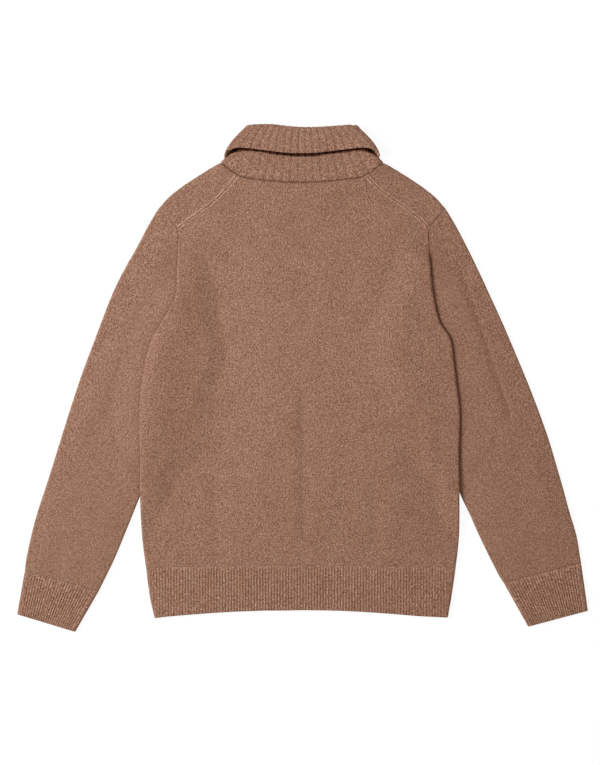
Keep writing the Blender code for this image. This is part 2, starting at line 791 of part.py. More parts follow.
def free_edge(column):
    """The middle of the cloth at the free edge of the turned-down collar."""
    lowest = COLLAR_CLOTH / 2
    fold = NECK_LIFT + 2 * COLLAR_CLOTH + FOLD_GAP + COLLAR_RIB_HEIGHT + 2 * SEAM_GAP
    highest = fold + COLLAR_CLOTH / 2 + FALL_EDGE_LIFT
    radius = (highest - lowest) / 2
    return loop_point(
        column, FALL_WIDTH - COLLAR_CLOTH / 2, radius, lambda x, y: (highest + lowest) / 2,
        lambda x: curve_through(FALL_BACK, abs(x)), fall_front, FALL_SIDE, True,
    )


def moved(point, direction, distance):
    return tuple(p + d * distance for p, d in zip(point, direction))


def collar_frame(column):
    """The way up the stand at a column, and the way out of the neck, square to it."""
    run, at = column
    up = (Vector(stand_top(column)) - Vector(stand_foot(column))).normalized()
    if run in ("back", "front"):
        return up, Vector((0.0, 0.0, 1.0 if run == "back" else -1.0))
    side = RIGHT if run == "right" else LEFT
    turn = math.radians(at)
    up = Vector((up.x * FOLD_LEAN, up.y, 0.0)).normalized()
    level = Vector((side * up.y, -side * up.x, 0.0))
    return up, level * math.cos(turn) + Vector((0.0, 0.0, math.sin(turn)))


def bowed(point, amount):
    """A point of the collar moved outwards, by that amount at the sides and by less towards the middle."""
    x, y, z = point
    return (x * (1 + amount / FOLD_WIDTH), y, z)


def stand_bow(share):
    root = math.sqrt(share)
    return STAND_SIDE_BOW * 4 * root * (1 - root)


def collar_profile(column):
    """The middle line of the collar at a column, from the neck seam over the fold to the free edge. Each step
    is a point, the direction out of the side of the cloth that faces the neck, and the part it is on."""
    up, out = collar_frame(column)
    foot, top, edge = stand_foot(column), stand_top(column), free_edge(column)
    turned = math.cos(math.radians(column[1])) if column[0] in ("left", "right") else 0.0
    steps = []
    foot_rise, top_rise = foot[2] - ground(*foot[:2]), top[2] - NECK_LIFT
    for share in STAND_STEPS:
        lift = (SEAM_GAP + NECK_POINT_GAP * turned) * (1 - share)
        x, y, _ = bowed(mix(foot, top, share), stand_bow(share))
        steps.append(((x, y + lift, ground(x, y) + foot_rise + (top_rise - foot_rise) * share), -out, "stand"))
    radius = fold_radius(column)
    centre = moved(top, out, radius)
    for angle in FOLD_TURN:
        turn = math.radians(angle)
        radial = up * math.sin(turn) - out * math.cos(turn)
        steps.append((moved(centre, radial, radius), radial, "fall"))
    start = moved(top, out, 2 * radius)
    for share in FALL_STEPS:
        x, y, z = mix(start, edge, share)
        if column[0] == "back":
            z = start[2] + (edge[2] - start[2]) * share * share
        steps.append((bowed((x, y, z), FALL_SIDE_BOW * 4 * share * (1 - share)), out, "fall"))
    return steps


def make_collar(material):
    """The collar: one ribbed tube that stands up from the neck seam and is turned down over itself."""
    columns, points = collar_columns(), {}
    rows = 0
    for j, column in enumerate(columns):
        profile = collar_profile(column)
        rows = len(profile)
        rib = COLLAR_RIB_HEIGHT if column[0] == "back" and j % 3 else 0.0
        for i, (point, normal, part) in enumerate(profile):
            neck_side, far_side = COLLAR_CLOTH / 2, COLLAR_CLOTH / 2
            if part == "stand":
                far_side += rib
            else:
                neck_side += rib
            points[i, j] = (moved(point, normal, neck_side), moved(point, normal, -far_side))
    return wall("collar", material, points, grid_cells(rows, len(columns), closed=True))


# ---------------------------------------------------------------------------------------------------------
# The whole sweater
# ---------------------------------------------------------------------------------------------------------


def clear_scene():
    for item in list(bpy.data.objects):
        bpy.data.objects.remove(item)


def stand_on_origin(pieces):
    """Moves every piece so that the origin is the bottom centre of the whole sweater."""
    corners = [v.co for piece in pieces for v in piece.data.vertices]
    low = [min(c[k] for c in corners) for k in range(3)]
    high = [max(c[k] for c in corners) for k in range(3)]
    shift = [-(low[0] + high[0]) / 2, -(low[1] + high[1]) / 2, -low[2]]
    for piece in pieces:
        for vertex in piece.data.vertices:
            vertex.co = [c + s for c, s in zip(vertex.co, shift)]
    print("moved by", [round(s / MM, 3) for s in shift], "mm")


def main():
    clear_scene()
    jersey, band, collar = (wool(name, YARN[name]) for name in ("jersey", "band", "collar"))
    pieces = [
        make_back(jersey),
        make_front(jersey),
        make_hem("hem_back", band, 1),
        make_hem("hem_front", band, -1),
        make_collar(collar),
    ]
    for side, word in ((LEFT, "left"), (RIGHT, "right")):
        pieces.append(make_sleeve(jersey, side, word))
        pieces.append(make_cuff(band, side, word))
    stand_on_origin(pieces)


main()
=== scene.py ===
import math

import bpy
import numpy as np
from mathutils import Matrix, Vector


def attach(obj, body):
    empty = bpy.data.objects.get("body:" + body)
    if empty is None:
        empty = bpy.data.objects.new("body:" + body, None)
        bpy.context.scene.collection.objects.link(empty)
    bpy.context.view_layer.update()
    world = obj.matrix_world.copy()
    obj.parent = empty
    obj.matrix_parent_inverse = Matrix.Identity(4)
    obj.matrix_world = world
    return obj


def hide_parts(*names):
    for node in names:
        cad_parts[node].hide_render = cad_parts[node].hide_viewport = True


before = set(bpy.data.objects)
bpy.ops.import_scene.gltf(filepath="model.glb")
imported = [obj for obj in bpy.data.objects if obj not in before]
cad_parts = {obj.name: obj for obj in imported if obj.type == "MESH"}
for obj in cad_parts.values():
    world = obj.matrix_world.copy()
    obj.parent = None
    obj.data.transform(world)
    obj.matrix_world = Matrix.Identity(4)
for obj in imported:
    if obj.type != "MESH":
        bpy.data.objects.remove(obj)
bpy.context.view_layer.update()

# The sweater lies on its front. Sizes are in mm in the cut's own frame: x across from the centre line, y up from
# the hem's corners, z above the floor. toRow brings them to the row's frame, in metres.
left, right = -1, 1
cloth = {"jersey": 3.0, "band": 2.8, "collar": 3.4, "layerGap": 0.8, "seamGap": 0.3, "linkGap": 0.05, "rimSteps": 3}
toRow = {"x": -1.25, "y": -370.011, "scale": 0.001}
edgeAngles = np.radians([0, 12, 25, 40, 55, 72, 90])  # of the columns that round a folded edge


# The camera, the floor and the lamps, in metres. The camera's places across and up are in mm.
view = {"mmPerPixel": 1.55, "pixelsHigh": 765, "sensor": 24, "across": -4.35, "up": -8.1, "height": 6.0,
        "aboveFloor": 0.008, "floorSize": 6, "floorDrop": 0.0002, "floorColor": 0.1, "floorGlow": 0.91,
        "floorRoughness": 0.9, "lampColor": (1, 1.055, 1.10), "roomColor": (1, 0.93, 0.885), "roomLight": 0.52,
        "spotAngle": 21}
lamps = [  # name, kind, place, aim, size, power
    ("keyLight", "AREA", (-2.6, 0.5, 2.1), (0, 0, 0), 0.9, 91),
    ("fillLight", "AREA", (1.6, -1.8, 3.0), (0, 0, 0), 2.6, 8),
    ("middleLight", "SPOT", (-1.5, 0.45, 1.5), (0.03, 0.08, 0), 0.3, 24),
]


def makeStage():
    lens = bpy.data.cameras.new("camera")
    lens.sensor_fit = "VERTICAL"
    lens.sensor_height = view["sensor"]
    lens.lens = view["sensor"] * view["height"] / (view["pixelsHigh"] * view["mmPerPixel"] / 1000)
    camera = bpy.data.objects.new("camera", lens)
    camera.location = (view["across"] / 1000, view["up"] / 1000, view["height"] + view["aboveFloor"])
    bpy.context.scene.collection.objects.link(camera)
    bpy.context.scene.camera = camera

    reach = view["floorSize"]
    floorMesh = bpy.data.meshes.new("floor")
    floorMesh.from_pydata([(-reach, -reach, 0), (reach, -reach, 0), (reach, reach, 0), (-reach, reach, 0)], [],
                          [(0, 1, 2, 3)])
    floor = bpy.data.objects.new("floor", floorMesh)
    floor.location.z = -view["floorDrop"]
    bpy.context.scene.collection.objects.link(floor)
    paper = bpy.data.materials.new("floorPaper")
    paper.use_nodes = True
    shader = paper.node_tree.nodes["Principled BSDF"]
    shader.inputs["Base Color"].default_value = (*[view["floorColor"]] * 3, 1)
    shader.inputs["Emission Color"].default_value = (1, 1, 1, 1)
    shader.inputs["Emission Strength"].default_value = view["floorGlow"]
    shader.inputs["Roughness"].default_value = view["floorRoughness"]
    floorMesh.materials.append(paper)

    for name, kind, place, aim, size, power in lamps:
        lamp = bpy.data.lights.new(name, kind)
        lamp.energy = power
        if kind == "AREA":
            lamp.size, lamp.color = size, view["lampColor"]
        else:
            lamp.spot_size, lamp.spot_blend, lamp.shadow_soft_size = math.radians(view["spotAngle"]), 1.0, size
        light = bpy.data.objects.new(name, lamp)
        light.location = place
        light.rotation_euler = (Vector(aim) - Vector(place)).to_track_quat("-Z", "Y").to_euler()
        bpy.context.scene.collection.objects.link(light)
    world = bpy.data.worlds.new("softRoom")
    bpy.context.scene.world = world
    world.use_nodes = True
    world.node_tree.nodes["Background"].inputs["Color"].default_value = (*view["roomColor"], 1)
    world.node_tree.nodes["Background"].inputs["Strength"].default_value = view["roomLight"]
    bpy.context.scene.view_settings.view_transform = "Standard"


# 0 to 1 with a soft start and end
def ease(share):
    share = np.clip(share, 0, 1)
    return share * share * (3 - 2 * share)


# 0 to 1 at an even slope, with a short bend at each end
def slope(share, bend):
    share = np.clip(share, 0, 1)
    middle = (share - bend / 2) / (1 - bend)
    low, high = share**2 / (2 * bend * (1 - bend)), 1 - (1 - share) ** 2 / (2 * bend * (1 - bend))
    return np.where(share < bend, low, np.where(share > 1 - bend, high, middle))


# 1 at no distance, falling to 0 beyond the width
def bump(distance, width):
    return np.exp(-((distance / width) ** 2))


# a smooth curve through (position, value) rows
def curveOf(rows):
    rows = sorted(rows)
    at = np.array([r[0] for r in rows], float)
    value = np.array([r[1] for r in rows], float)
    before, after = np.maximum(np.arange(len(at)) - 1, 0), np.minimum(np.arange(len(at)) + 1, len(at) - 1)
    steepness = (value[after] - value[before]) / (at[after] - at[before])

    def evaluate(x):
        x = np.clip(np.asarray(x, float), at[0], at[-1])
        i = np.clip(np.searchsorted(at, x, side="right") - 1, 0, len(at) - 2)
        span = at[i + 1] - at[i]
        t = (x - at[i]) / span
        return (
            (1 + 2 * t) * (1 - t) ** 2 * value[i]
            + t * (1 - t) ** 2 * span * steepness[i]
            + t * t * (3 - 2 * t) * value[i + 1]
            + t * t * (t - 1) * span * steepness[i + 1]
        )

    return evaluate


# (height, left, right) rows as a function of height and side
def sidesOf(rows):
    toLeft, toRight = curveOf([(h, a) for h, a, _ in rows]), curveOf([(h, b) for h, _, b in rows])
    return lambda height, side: np.where(np.asarray(side) < 0, toLeft(height), toRight(height))


# points at shares of the length of a path
def along(path, shares):
    path = np.array(path, float)
    lengths = np.concatenate([[0], np.cumsum(np.linalg.norm(np.diff(path, axis=0), axis=1))])
    reach = np.asarray(shares, float) * lengths[-1]
    return np.stack([np.interp(reach, lengths, path[:, k]) for k in range(path.shape[1])], axis=-1)


# distance from a line between two points, and how far along it
def offSegment(x, y, start, end):
    dx, dy = end[0] - start[0], end[1] - start[1]
    share = np.clip(((x - start[0]) * dx + (y - start[1]) * dy) / (dx * dx + dy * dy), 0, 1)
    return np.hypot(x - start[0] - share * dx, y - start[1] - share * dy), share


# soft uneven ground of a few waves, from -1 to 1
def unevenness(x, y, size, seed):
    rng = np.random.default_rng(seed)
    total = np.zeros(np.broadcast(x, y).shape)
    for _ in range(9):
        turn, phase, length = rng.uniform(0, math.tau), rng.uniform(0, math.tau), size * rng.uniform(0.7, 1.6)
        total += np.sin((x * math.cos(turn) + y * math.sin(turn)) * math.tau / length + phase)
    return total / 4.5


# The outline of each piece, as (height, left, right) rows or as points
bodyEdge = sidesOf([
    (0, 229, 226.5), (31, 236, 232), (74, 242, 238.3), (124, 248, 243.5), (186, 251, 244), (251, 251, 243.5),
    (314, 252, 245), (360, 248, 240), (400, 241, 235), (430, 232, 230), (456, 217, 214), (477, 205, 208),
    (498, 195, 204), (521, 194, 201), (552, 193, 199), (583, 192, 197), (601, 192, 196),
])
bandTop, bandTopRise = 74.0, 4.6
hemEdge = curveOf([(-229, -3.8), (-205, -1), (-127, 5), (-60, 7.9), (-25, 8.1), (0, 8.6), (60, 7.6), (121, 4.2),
                   (183, -0.7), (226.5, -2.8)])
armholeTop, underarm, shoulderTip, neckPoint, backNeckCorner = 601.0, 402.0, (223, 631), (125.5, 703), 99.0
shoulderSeam = sidesOf([
    (601, 192, 196), (612, 178, 187), (622, 163.5, 175), (639, 141, 152.5), (650, 128, 136), (661, 118.5, 121.5),
    (672, 108.5, 110), (684, 99, 99),
])
backNeckCurve = curveOf([(0, 672), (32, 673.5), (63, 676.5), (90, 680), (103.5, 686), (115, 694.5), (125.5, 703)])
shoulderLine = [(223, 631), (211, 645), (201.5, 654), (185, 666.5), (166, 679), (147, 691), (136.5, 697),
                (125.5, 703)]
sleeveOuter = sidesOf([
    (631, 223, 223), (608, 237, 237), (570, 257, 257), (533, 278, 275), (496, 295.6, 292), (459, 310, 309),
    (422, 324, 325), (384, 338.3, 341), (347, 351, 356), (310, 363, 370), (273, 374.5, 383), (236, 386, 394),
    (198, 398, 405), (161, 410.3, 415), (124, 420.2, 426), (87, 428, 432), (70, 430.5, 434),
])
sleeveInner = sidesOf([
    (402, 154, 156), (330, 187, 189), (260, 219, 219), (186, 251, 246.5), (161, 261, 258.5), (124, 276, 275),
    (87, 291.5, 293), (50, 309.5, 312), (38, 315.8, 320),
])
# where the sleeve ends under the body, and how wide the body's rise over it is
tuckEdge = sidesOf([(545, 193, 198), (528, 187, 191), (490, 177, 180), (443, 164, 166), (402, 154, 156)])
rampWidth = sidesOf([(552, 40, 50), (505, 42, 56), (428, 34, 60), (350, 38, 60), (273, 68, 60), (208, 40, 40)])
cuffCorners = {
    left: ((430, 69.5), (315.3, 38.5), (442, 2.8), (351.5, -24.6)),
    right: ((433, 82), (313, 51), (443.6, 8.2), (350.6, -16.6)),
}
# how far the body is lifted over the sleeves under its edge and over the collar under its neck
lift = {"tuck": 7.2, "margin": 8.0, "corner": 0.16, "top": 582.0, "bottom": 548.0, "edge": {left: 7.5, right: 0.4},
        "round": {left: 0.36, right: 0.0}, "roundWidth": 18.0, "neck": 3.9, "neckMargin": 12.0, "neckRamp": 36.0,
        "bend": 0.15, "past": 4, "narrow": 40, "cuffTop": 38}
# the collar: where it folds, how far it is turned down, its ribs, and how much painted shade its rib hollows and the
# crevice under its turned-down edge get
fall = {"depth": 659.0, "rise": 49.0, "width": 121.0, "inset": 8, "fold": 87.5, "foldReach": 4.0,
        "frontFold": 739.0, "sideFold": 757.0, "side": {left: 712.0, right: 714.0}, "foldGap": 2.0, "lean": 0.4,
        "bow": 2.8, "standBow": -2.0, "edgeLift": 3.4, "edgeUp": 3.5, "rib": 0.7, "ribs": 17, "straight": 0.86,
        "neckGap": 0.4, "paintedShadeFactor": 0.7, "standPaintedShadeFactor": 0.42, "creviceShade": 1.95, "creviceWidth": 5.0, "creviceFade": 1.5,
        "frontNeck": 637.0, "ribSharp": 0.3, "ribSplit": 0.25, "ribPitch": 12.0, "lowest": 0.05, "edgeRound": 1.4}
foldTop = curveOf([(-84, 762), (-48, 761.8), (-36, 760.5), (-15, 758.2), (5, 757.2), (28, 757.8), (59, 760),
                   (76, 761.4), (84, 760.4)])
fallBackCurve = curveOf([(0, 714.4), (20, 714.8), (47, 717.8), (75, 721.3), (98, 723), (106, 721.5), (112, 718.5)])


def backNeck(x):
    return backNeckCurve(np.abs(x))


# the front's neck edge and the free edge of the collar under it
def frontNeck(x):
    return fall["frontNeck"] + (neckPoint[1] - fall["frontNeck"]) * np.clip(np.abs(x) / neckPoint[0], 0, 1) ** 2.2


def fallFront(x):
    return fall["depth"] + fall["rise"] * np.clip(np.abs(x) / (fall["width"] - fall["inset"]), 0, 1) ** 2


# 1 where the body lies over the sleeves, 0 above, where it is sewn to them edge to edge
def stepShare(height):
    return 1 - ease((height - lift["bottom"]) / (lift["top"] - lift["bottom"]))


# height of the body's underside over a place: over the sleeves, over the collar, and both
def tuckLift(x, y):
    side = np.sign(x) + (x == 0)
    hidden = np.where(y > underarm, tuckEdge(y, side), sleeveInner(np.maximum(y, lift["cuffTop"]), side))
    start = hidden - lift["margin"]
    clear = slope((np.abs(x) - start) / rampWidth(y, side) + 1, lift["corner"])
    edge = bodyEdge(np.maximum(y, 0), side)
    most = np.where(side < 0, lift["edge"][left], lift["edge"][right])
    rounding = np.where(side < 0, lift["round"][left], lift["round"][right])
    rise = slope((np.abs(x) - start) / (edge - start + lift["past"]), lift["bend"])
    rise = most * rise * ease((edge - start) / lift["narrow"])
    rise = rise * (1 - rounding * (1 - ease((edge - np.abs(x)) / lift["roundWidth"])))
    return stepShare(y) * (clear * lift["tuck"] + rise)


def neckLift(x, y):
    away = np.hypot(np.maximum(0, fallFront(x) - y), np.maximum(0, np.abs(x) - fall["width"] + fall["inset"]))
    return lift["neck"] * (1 - ease((away - lift["neckMargin"]) / lift["neckRamp"]))


def ground(x, y):
    return tuckLift(x, y) + neckLift(x, y)


# soft troughs and ridges of the back: start, end, half width, height
backFolds = [
    ((0, 345), (2, 125), 7.5, -1.7), ((-135, 215), (-132, 90), 10, -1.5), ((113, 200), (112, 112), 10, -1.3),
    ((183, 330), (177, 232), 12, -0.9), ((213, 290), (211, 150), 8, -1.2), ((146, 555), (186, 440), 20, -0.8),
    ((-62, 640), (-96, 560), 18, -0.6),
]
sleeveFolds = {
    left: [((262, 520), (318, 402), 14, -0.8), ((318, 300), (352, 214), 12, -0.8)],
    right: [((246, 533), (322, 312), 5, -1.2), ((330, 250), (352, 170), 12, -0.7)],
}
# places with painted shade, where folds slope away from the light or less light falls: start, end, half width, how much
# painted shade
paintedShadeAreas = [((196, 596), (197, 552), 4.5, 0.3), ((-170, 490), (-213, 230), 34, 0.15), ((190, 340), (188, 20), 48, 0.09),
          ((3, 330), (3, 125), 6, 0.12)]
# beside, besideWidth and besideFrom set the painted shade along the body's right edge, where it shadows the right
# sleeve
body = {"puff": 1.5, "puffWidth": 34, "atBand": 0.2, "bandFade": 50, "uneven": 0.35, "unevenSize": 70, "seed": 4,
        "bendHeight": 160, "backFade": 380, "frontFade": 420, "rim": 0.12, "beside": 0.35, "besideWidth": 7,
        "besideFrom": 225, "dome": 4.2, "domeLeft": (-138, -50), "domeRight": (224, 120), "domeFoot": (90, 190),
        "domeTop": (640, 520)}


# the folds' heights at a place, and the air between back and front there
def foldSum(folds, x, y):
    total = 0
    for start, end, width, height in folds:
        total = total + height * bump(offSegment(x, y, start, end)[0], width)
    return total


def bodyGap(x, y):
    side = np.sign(x) + (x == 0)
    edge = bodyEdge(np.clip(y, 0, armholeTop), side)
    aboveBand = body["atBand"] + (1 - body["atBand"]) * ease((y - bandTop) / body["bandFade"])
    inside = ease((edge - np.abs(x)) / body["puffWidth"]) * aboveBand
    wave = body["uneven"] * unevenness(x, y, body["unevenSize"], body["seed"]) * inside
    dome = body["dome"]
    for place, ends in ((x, "domeLeft"), (x, "domeRight"), (y, "domeFoot"), (y, "domeTop")):
        dome = dome * ease((place - body[ends][0]) / (body[ends][1] - body[ends][0]))
    return cloth["layerGap"] + np.maximum(0, body["puff"] * inside + dome + foldSum(backFolds, x, y) + wave)


# how much painted shade the back gets at a place, on the painted shading scale: along the body's right edge, where it
# shadows the right sleeve, and in the listed areas
def paintedShadeAt(x, y):
    side = np.sign(x) + (x == 0)
    edge = bodyEdge(np.clip(y, 0, armholeTop), side)
    beside = body["beside"] * (1 - ease((edge - np.abs(x)) / body["besideWidth"])) * (side > 0)
    beside = beside * stepShare(y) * ease((y - body["besideFrom"]) / 30)
    return beside + foldSum(paintedShadeAreas, x, y)


# numbers or directions kept on a mesh's points
def setAttribute(mesh, name, values):
    kind, field = ("FLOAT_VECTOR", "vector") if values.ndim == 2 else ("FLOAT", "value")
    mesh.attributes.new(name, kind, "POINT").data.foreach_set(field, values.astype(np.float32).ravel())


# A closed wall of cloth. Sheets are (outer, inner, uv, bulge, painted shading) grids in mm whose meeting points are the
# same.
# Each edge that only one cell uses is closed by a rim that bulges by the amount given there. The painted shading is
# shade and light painted into the cloth's colour: 0 is plain, above 0 painted shade and below 0 painted highlight. Ribs
# grow on the finished wall.
def makeWall(name, sheets, ribs=None):
    rimSteps = cloth["rimSteps"]
    outer = np.concatenate([s[0].reshape(-1, 3) for s in sheets])
    inner = np.concatenate([s[1].reshape(-1, 3) for s in sheets])
    uv = np.concatenate([s[2].reshape(-1, 2) for s in sheets])
    bulge = np.concatenate([s[3].reshape(-1) for s in sheets])
    paintedShading = np.concatenate([np.broadcast_to(s[4], s[3].shape).reshape(-1) for s in sheets])
    _, first, welded = np.unique(np.round(outer, 3), axis=0, return_index=True, return_inverse=True)
    welded = welded.reshape(-1)
    corners, start = [], 0
    for sheet in sheets:
        rows, columns = sheet[0].shape[:2]
        key = start + np.arange(rows * columns).reshape(rows, columns)
        cells = np.stack([key[:-1, :-1], key[:-1, 1:], key[1:, 1:], key[1:, :-1]], axis=-1).reshape(-1, 4)
        middle = cells[len(cells) // 2]
        across, up = outer[middle[2]] - outer[middle[0]], outer[middle[3]] - outer[middle[1]]
        if np.dot(np.cross(across, up), (outer - inner)[middle].mean(axis=0)) < 0:
            cells = cells[:, ::-1]
        corners.append(cells)
        start += rows * columns
    cells = np.concatenate(corners)
    points, deep, amount = outer[first], inner[first], bulge[first]
    faces = welded[cells]
    edges = {}
    for n in range(4):
        for a, b, la, lb in zip(faces[:, n], faces[:, (n + 1) % 4], cells[:, n], cells[:, (n + 1) % 4]):
            if (b, a) in edges:
                del edges[b, a]
            else:
                edges[a, b] = (la, lb)
    outward = np.zeros_like(points)
    for a, b in edges:
        out = np.cross(points[b] - points[a], points[a] - deep[a] + points[b] - deep[b])
        out /= np.linalg.norm(out) + 1e-9
        outward[a] += out
        outward[b] += out
    outward /= np.linalg.norm(outward, axis=1, keepdims=True) + 1e-9
    vertices, allFaces, allUv = [points, deep], [faces, faces[:, ::-1] + len(points)], [uv[cells], uv[cells][:, ::-1]]
    rimKeys = sorted({v for edge in edges for v in edge})
    rim = {v: n for n, v in enumerate(rimKeys)}
    base = 2 * len(points)
    middle, half = (points + deep)[rimKeys] / 2, (points - deep)[rimKeys] / 2
    turns = [math.pi * k / rimSteps for k in range(1, rimSteps)]
    for turn in turns:
        vertices.append(middle + half * math.cos(turn) + outward[rimKeys] * (amount[rimKeys] * math.sin(turn))[:, None])
    rimFaces, rimUv = [], []
    for (a, b), (la, lb) in edges.items():
        chainA = [a] + [base + k * len(rimKeys) + rim[a] for k in range(rimSteps - 1)] + [a + len(points)]
        chainB = [b] + [base + k * len(rimKeys) + rim[b] for k in range(rimSteps - 1)] + [b + len(points)]
        for k in range(rimSteps):
            rimFaces.append((chainB[k], chainA[k], chainA[k + 1], chainB[k + 1]))
            rimUv.append((uv[lb], uv[la], uv[la], uv[lb]))
    allFaces.append(np.array(rimFaces))
    allUv.append(np.array(rimUv))
    places = np.concatenate(vertices) + [toRow["x"], toRow["y"], 0]
    mesh = bpy.data.meshes.new(name)
    quads = np.concatenate(allFaces)
    mesh.vertices.add(len(places))
    mesh.vertices.foreach_set("co", (places * toRow["scale"]).ravel())
    mesh.loops.add(4 * len(quads))
    mesh.loops.foreach_set("vertex_index", quads.ravel())
    mesh.polygons.add(len(quads))
    mesh.polygons.foreach_set("loop_start", np.arange(0, 4 * len(quads), 4))
    mesh.update(calc_edges=True)
    mesh.uv_layers.new(name="UVMap").data.foreach_set("uv", (np.concatenate(allUv) * toRow["scale"]).ravel())
    mesh.polygons.foreach_set("use_smooth", [True] * len(quads))

    def spread(values):  # from the grid's points to both faces and the rims
        near = values.reshape(-1)[first]
        return np.concatenate([near, near] + [near[rimKeys]] * len(turns))

    # painted shade and painted highlight kept on the points, for the material
    setAttribute(mesh, "paintedShading", spread(paintedShading))
    mesh.validate()
    piece = bpy.data.objects.new(name, mesh)
    bpy.context.scene.collection.objects.link(piece)
    if ribs:
        outWay, inWay = (ribs[key].reshape(-1, 3)[first] for key in ("outerWay", "innerWay"))
        mean, change = (outWay + inWay)[rimKeys] / 2, (outWay - inWay)[rimKeys] / 2
        setAttribute(mesh, "ribWay", np.concatenate([outWay, inWay] + [mean + change * math.cos(t) for t in turns]))
        setAttribute(mesh, "ribCount", spread(ribs["count"]))
        setAttribute(mesh, "ribShade", spread(ribs["shade"]))
        growRibs(piece, ribs["tree"])
    # the rims keep painted highlights but take no painted shade
    shade = np.empty(len(places), np.float32)
    piece.data.attributes["paintedShading"].data.foreach_get("value", shade)
    shade[base:] = np.minimum(0, shade[base:])
    piece.data.attributes["paintedShading"].data.foreach_set("value", shade)
    print(name, len(quads) * 2, "triangles")
    return piece


# what is said of each piece of cloth
def finishPiece(piece, node, material):
    if not piece.data.materials:
        piece.data.materials.append(material)
    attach(piece, "root")
    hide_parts(node)


# distances of the columns from a row's left end: close together near both ends
def columnPlaces(width, radius, inner):
    near = np.concatenate([radius * (1 - np.cos(edgeAngles)), radius + np.array([1.2, 2.6, 4.4, 6.8])])
    middle = near[-1] + (width - 2 * near[-1]) * np.arange(1, inner) / inner
    shape = np.broadcast_to(near, (width.shape[0], len(near)))
    return np.concatenate([shape, middle, (width - shape)[:, ::-1]], axis=1)


def turnAngles(columns):
    angles = np.full(columns, math.pi / 2)
    angles[: len(edgeAngles)] = edgeAngles
    angles[-len(edgeAngles):] = edgeAngles[::-1]
    return angles


# one layer of the body: level is 1 for the back and -1 for the front
def layerPair(x, y, level, thick, angle, roll, gap, raised=0.0, inward=None):
    under = ground(x, y)
    half = thick + gap / 2
    middle = under + half
    flatOuter = middle + level * (half + raised)
    flatInner = flatOuter - level * (thick + raised)
    seam = cloth["seamGap"] / 2
    rolledOuter = middle + level * np.maximum(seam, half * np.sin(angle))
    rolledInner = middle + level * np.maximum(seam, (half - thick) * np.sin(angle))
    turning = np.sin(angle) < 0.9999
    share = np.where(turning, roll, 0)
    outer = flatOuter + (rolledOuter - flatOuter) * share
    inner = flatInner + (rolledInner - flatInner) * share
    shift = thick * np.cos(angle) * share
    if inward is None:
        inward = (-np.sign(x), np.zeros_like(x))
    return (
        np.stack(np.broadcast_arrays(x, y, outer), axis=-1),
        np.stack(np.broadcast_arrays(x + inward[0] * shift, y + inward[1] * shift, inner), axis=-1),
    )


# how far the band's top, and the cloth above it, is bent up at the middle
def bandRise(share):
    return bandTopRise * 4 * share * (1 - share)


def bandBend(height, share):
    return (1 - ease((height - bandTop) / body["bendHeight"])) * bandRise(share)


# a linked seam: a low welt along each edge. light is a painted highlight on the welts, dark and neckDark are painted
# shade in the seams, and bandLight is a painted highlight along the band's join
welt = {"height": 1.0, "place": 2.1, "width": 1.4, "light": 0.8, "dark": 0.35, "darkWidth": 0.9, "neckDark": 0.55,
        "neckWidth": 1.8, "neckHeight": 0.5, "bandLight": 0.5, "bandWidth": 1.6, "neckLength": 95}


def seamWelt(distance):
    return welt["height"] * bump(distance - welt["place"], welt["width"])


def makeBack():
    neckHeight = backNeck(backNeckCorner) - cloth["seamGap"]
    low = np.linspace(bandTop + cloth["linkGap"], armholeTop, 150)
    nearNeck = neckHeight - np.array([4, 3, 2.2, 1.5, 0.8, 0])
    high = np.concatenate([np.linspace(armholeTop, neckHeight - 5, 28)[1:], nearNeck])
    heights = np.concatenate([low, high])[:, None]
    up = np.clip((heights - armholeTop) / (neckHeight - armholeTop), 0, 1)
    ends = {}
    for side in (left, right):
        ends[side] = side * np.where(up > 0, shoulderSeam(heights, side), bodyEdge(heights, side))
    width = ends[right] - ends[left]
    places = columnPlaces(width, cloth["jersey"] + cloth["layerGap"] / 2, 150)
    share = places / width
    x = ends[left] + places
    fade = ease((heights - body["backFade"]) / (neckHeight - body["backFade"]))
    drop = backNeck(backNeckCorner * (2 * share - 1)) - backNeck(backNeckCorner)
    y = heights + bandBend(heights, share) + fade * drop
    roll = stepShare(heights)
    fromEdge = np.minimum(places, width - places)
    raised = seamWelt(fromEdge) * (1 - roll) * ease((heights - 560) / 30)
    # painted highlight on the welts, painted shade in the shoulder and neck seams, the back's painted shade and a
    # painted highlight over the band's join
    light = -welt["light"] * raised / welt["height"] * (0.3 + 0.7 * ease((heights - armholeTop + 4) / 8))
    light = light + welt["dark"] * bump(fromEdge, welt["darkWidth"]) * (1 - roll)
    light = light + welt["neckDark"] * bump(neckHeight - heights, welt["neckWidth"]) + paintedShadeAt(x, y)
    light = light - welt["bandLight"] * bump(heights - bandTop, welt["bandWidth"])
    raised = raised + welt["neckHeight"] * seamWelt(neckHeight - heights) * ease(fromEdge / 3)
    outer, inner = layerPair(x, y, 1, cloth["jersey"], turnAngles(x.shape[1]), roll, bodyGap(x, y), raised)
    uv = np.stack([x, np.broadcast_to(y, x.shape)], axis=-1)
    return makeWall("backPanel", [(outer, inner, uv, np.full(x.shape, body["rim"]), light)])


# the way in from the shoulder's fold, square to it
def foldInward(shares, side):
    step = along(shoulderLine, np.clip(shares + 0.02, 0, 1)) - along(shoulderLine, np.clip(shares - 0.02, 0, 1))
    step /= np.linalg.norm(step, axis=1, keepdims=True)
    return -side * step[:, 1:], step[:, :1]


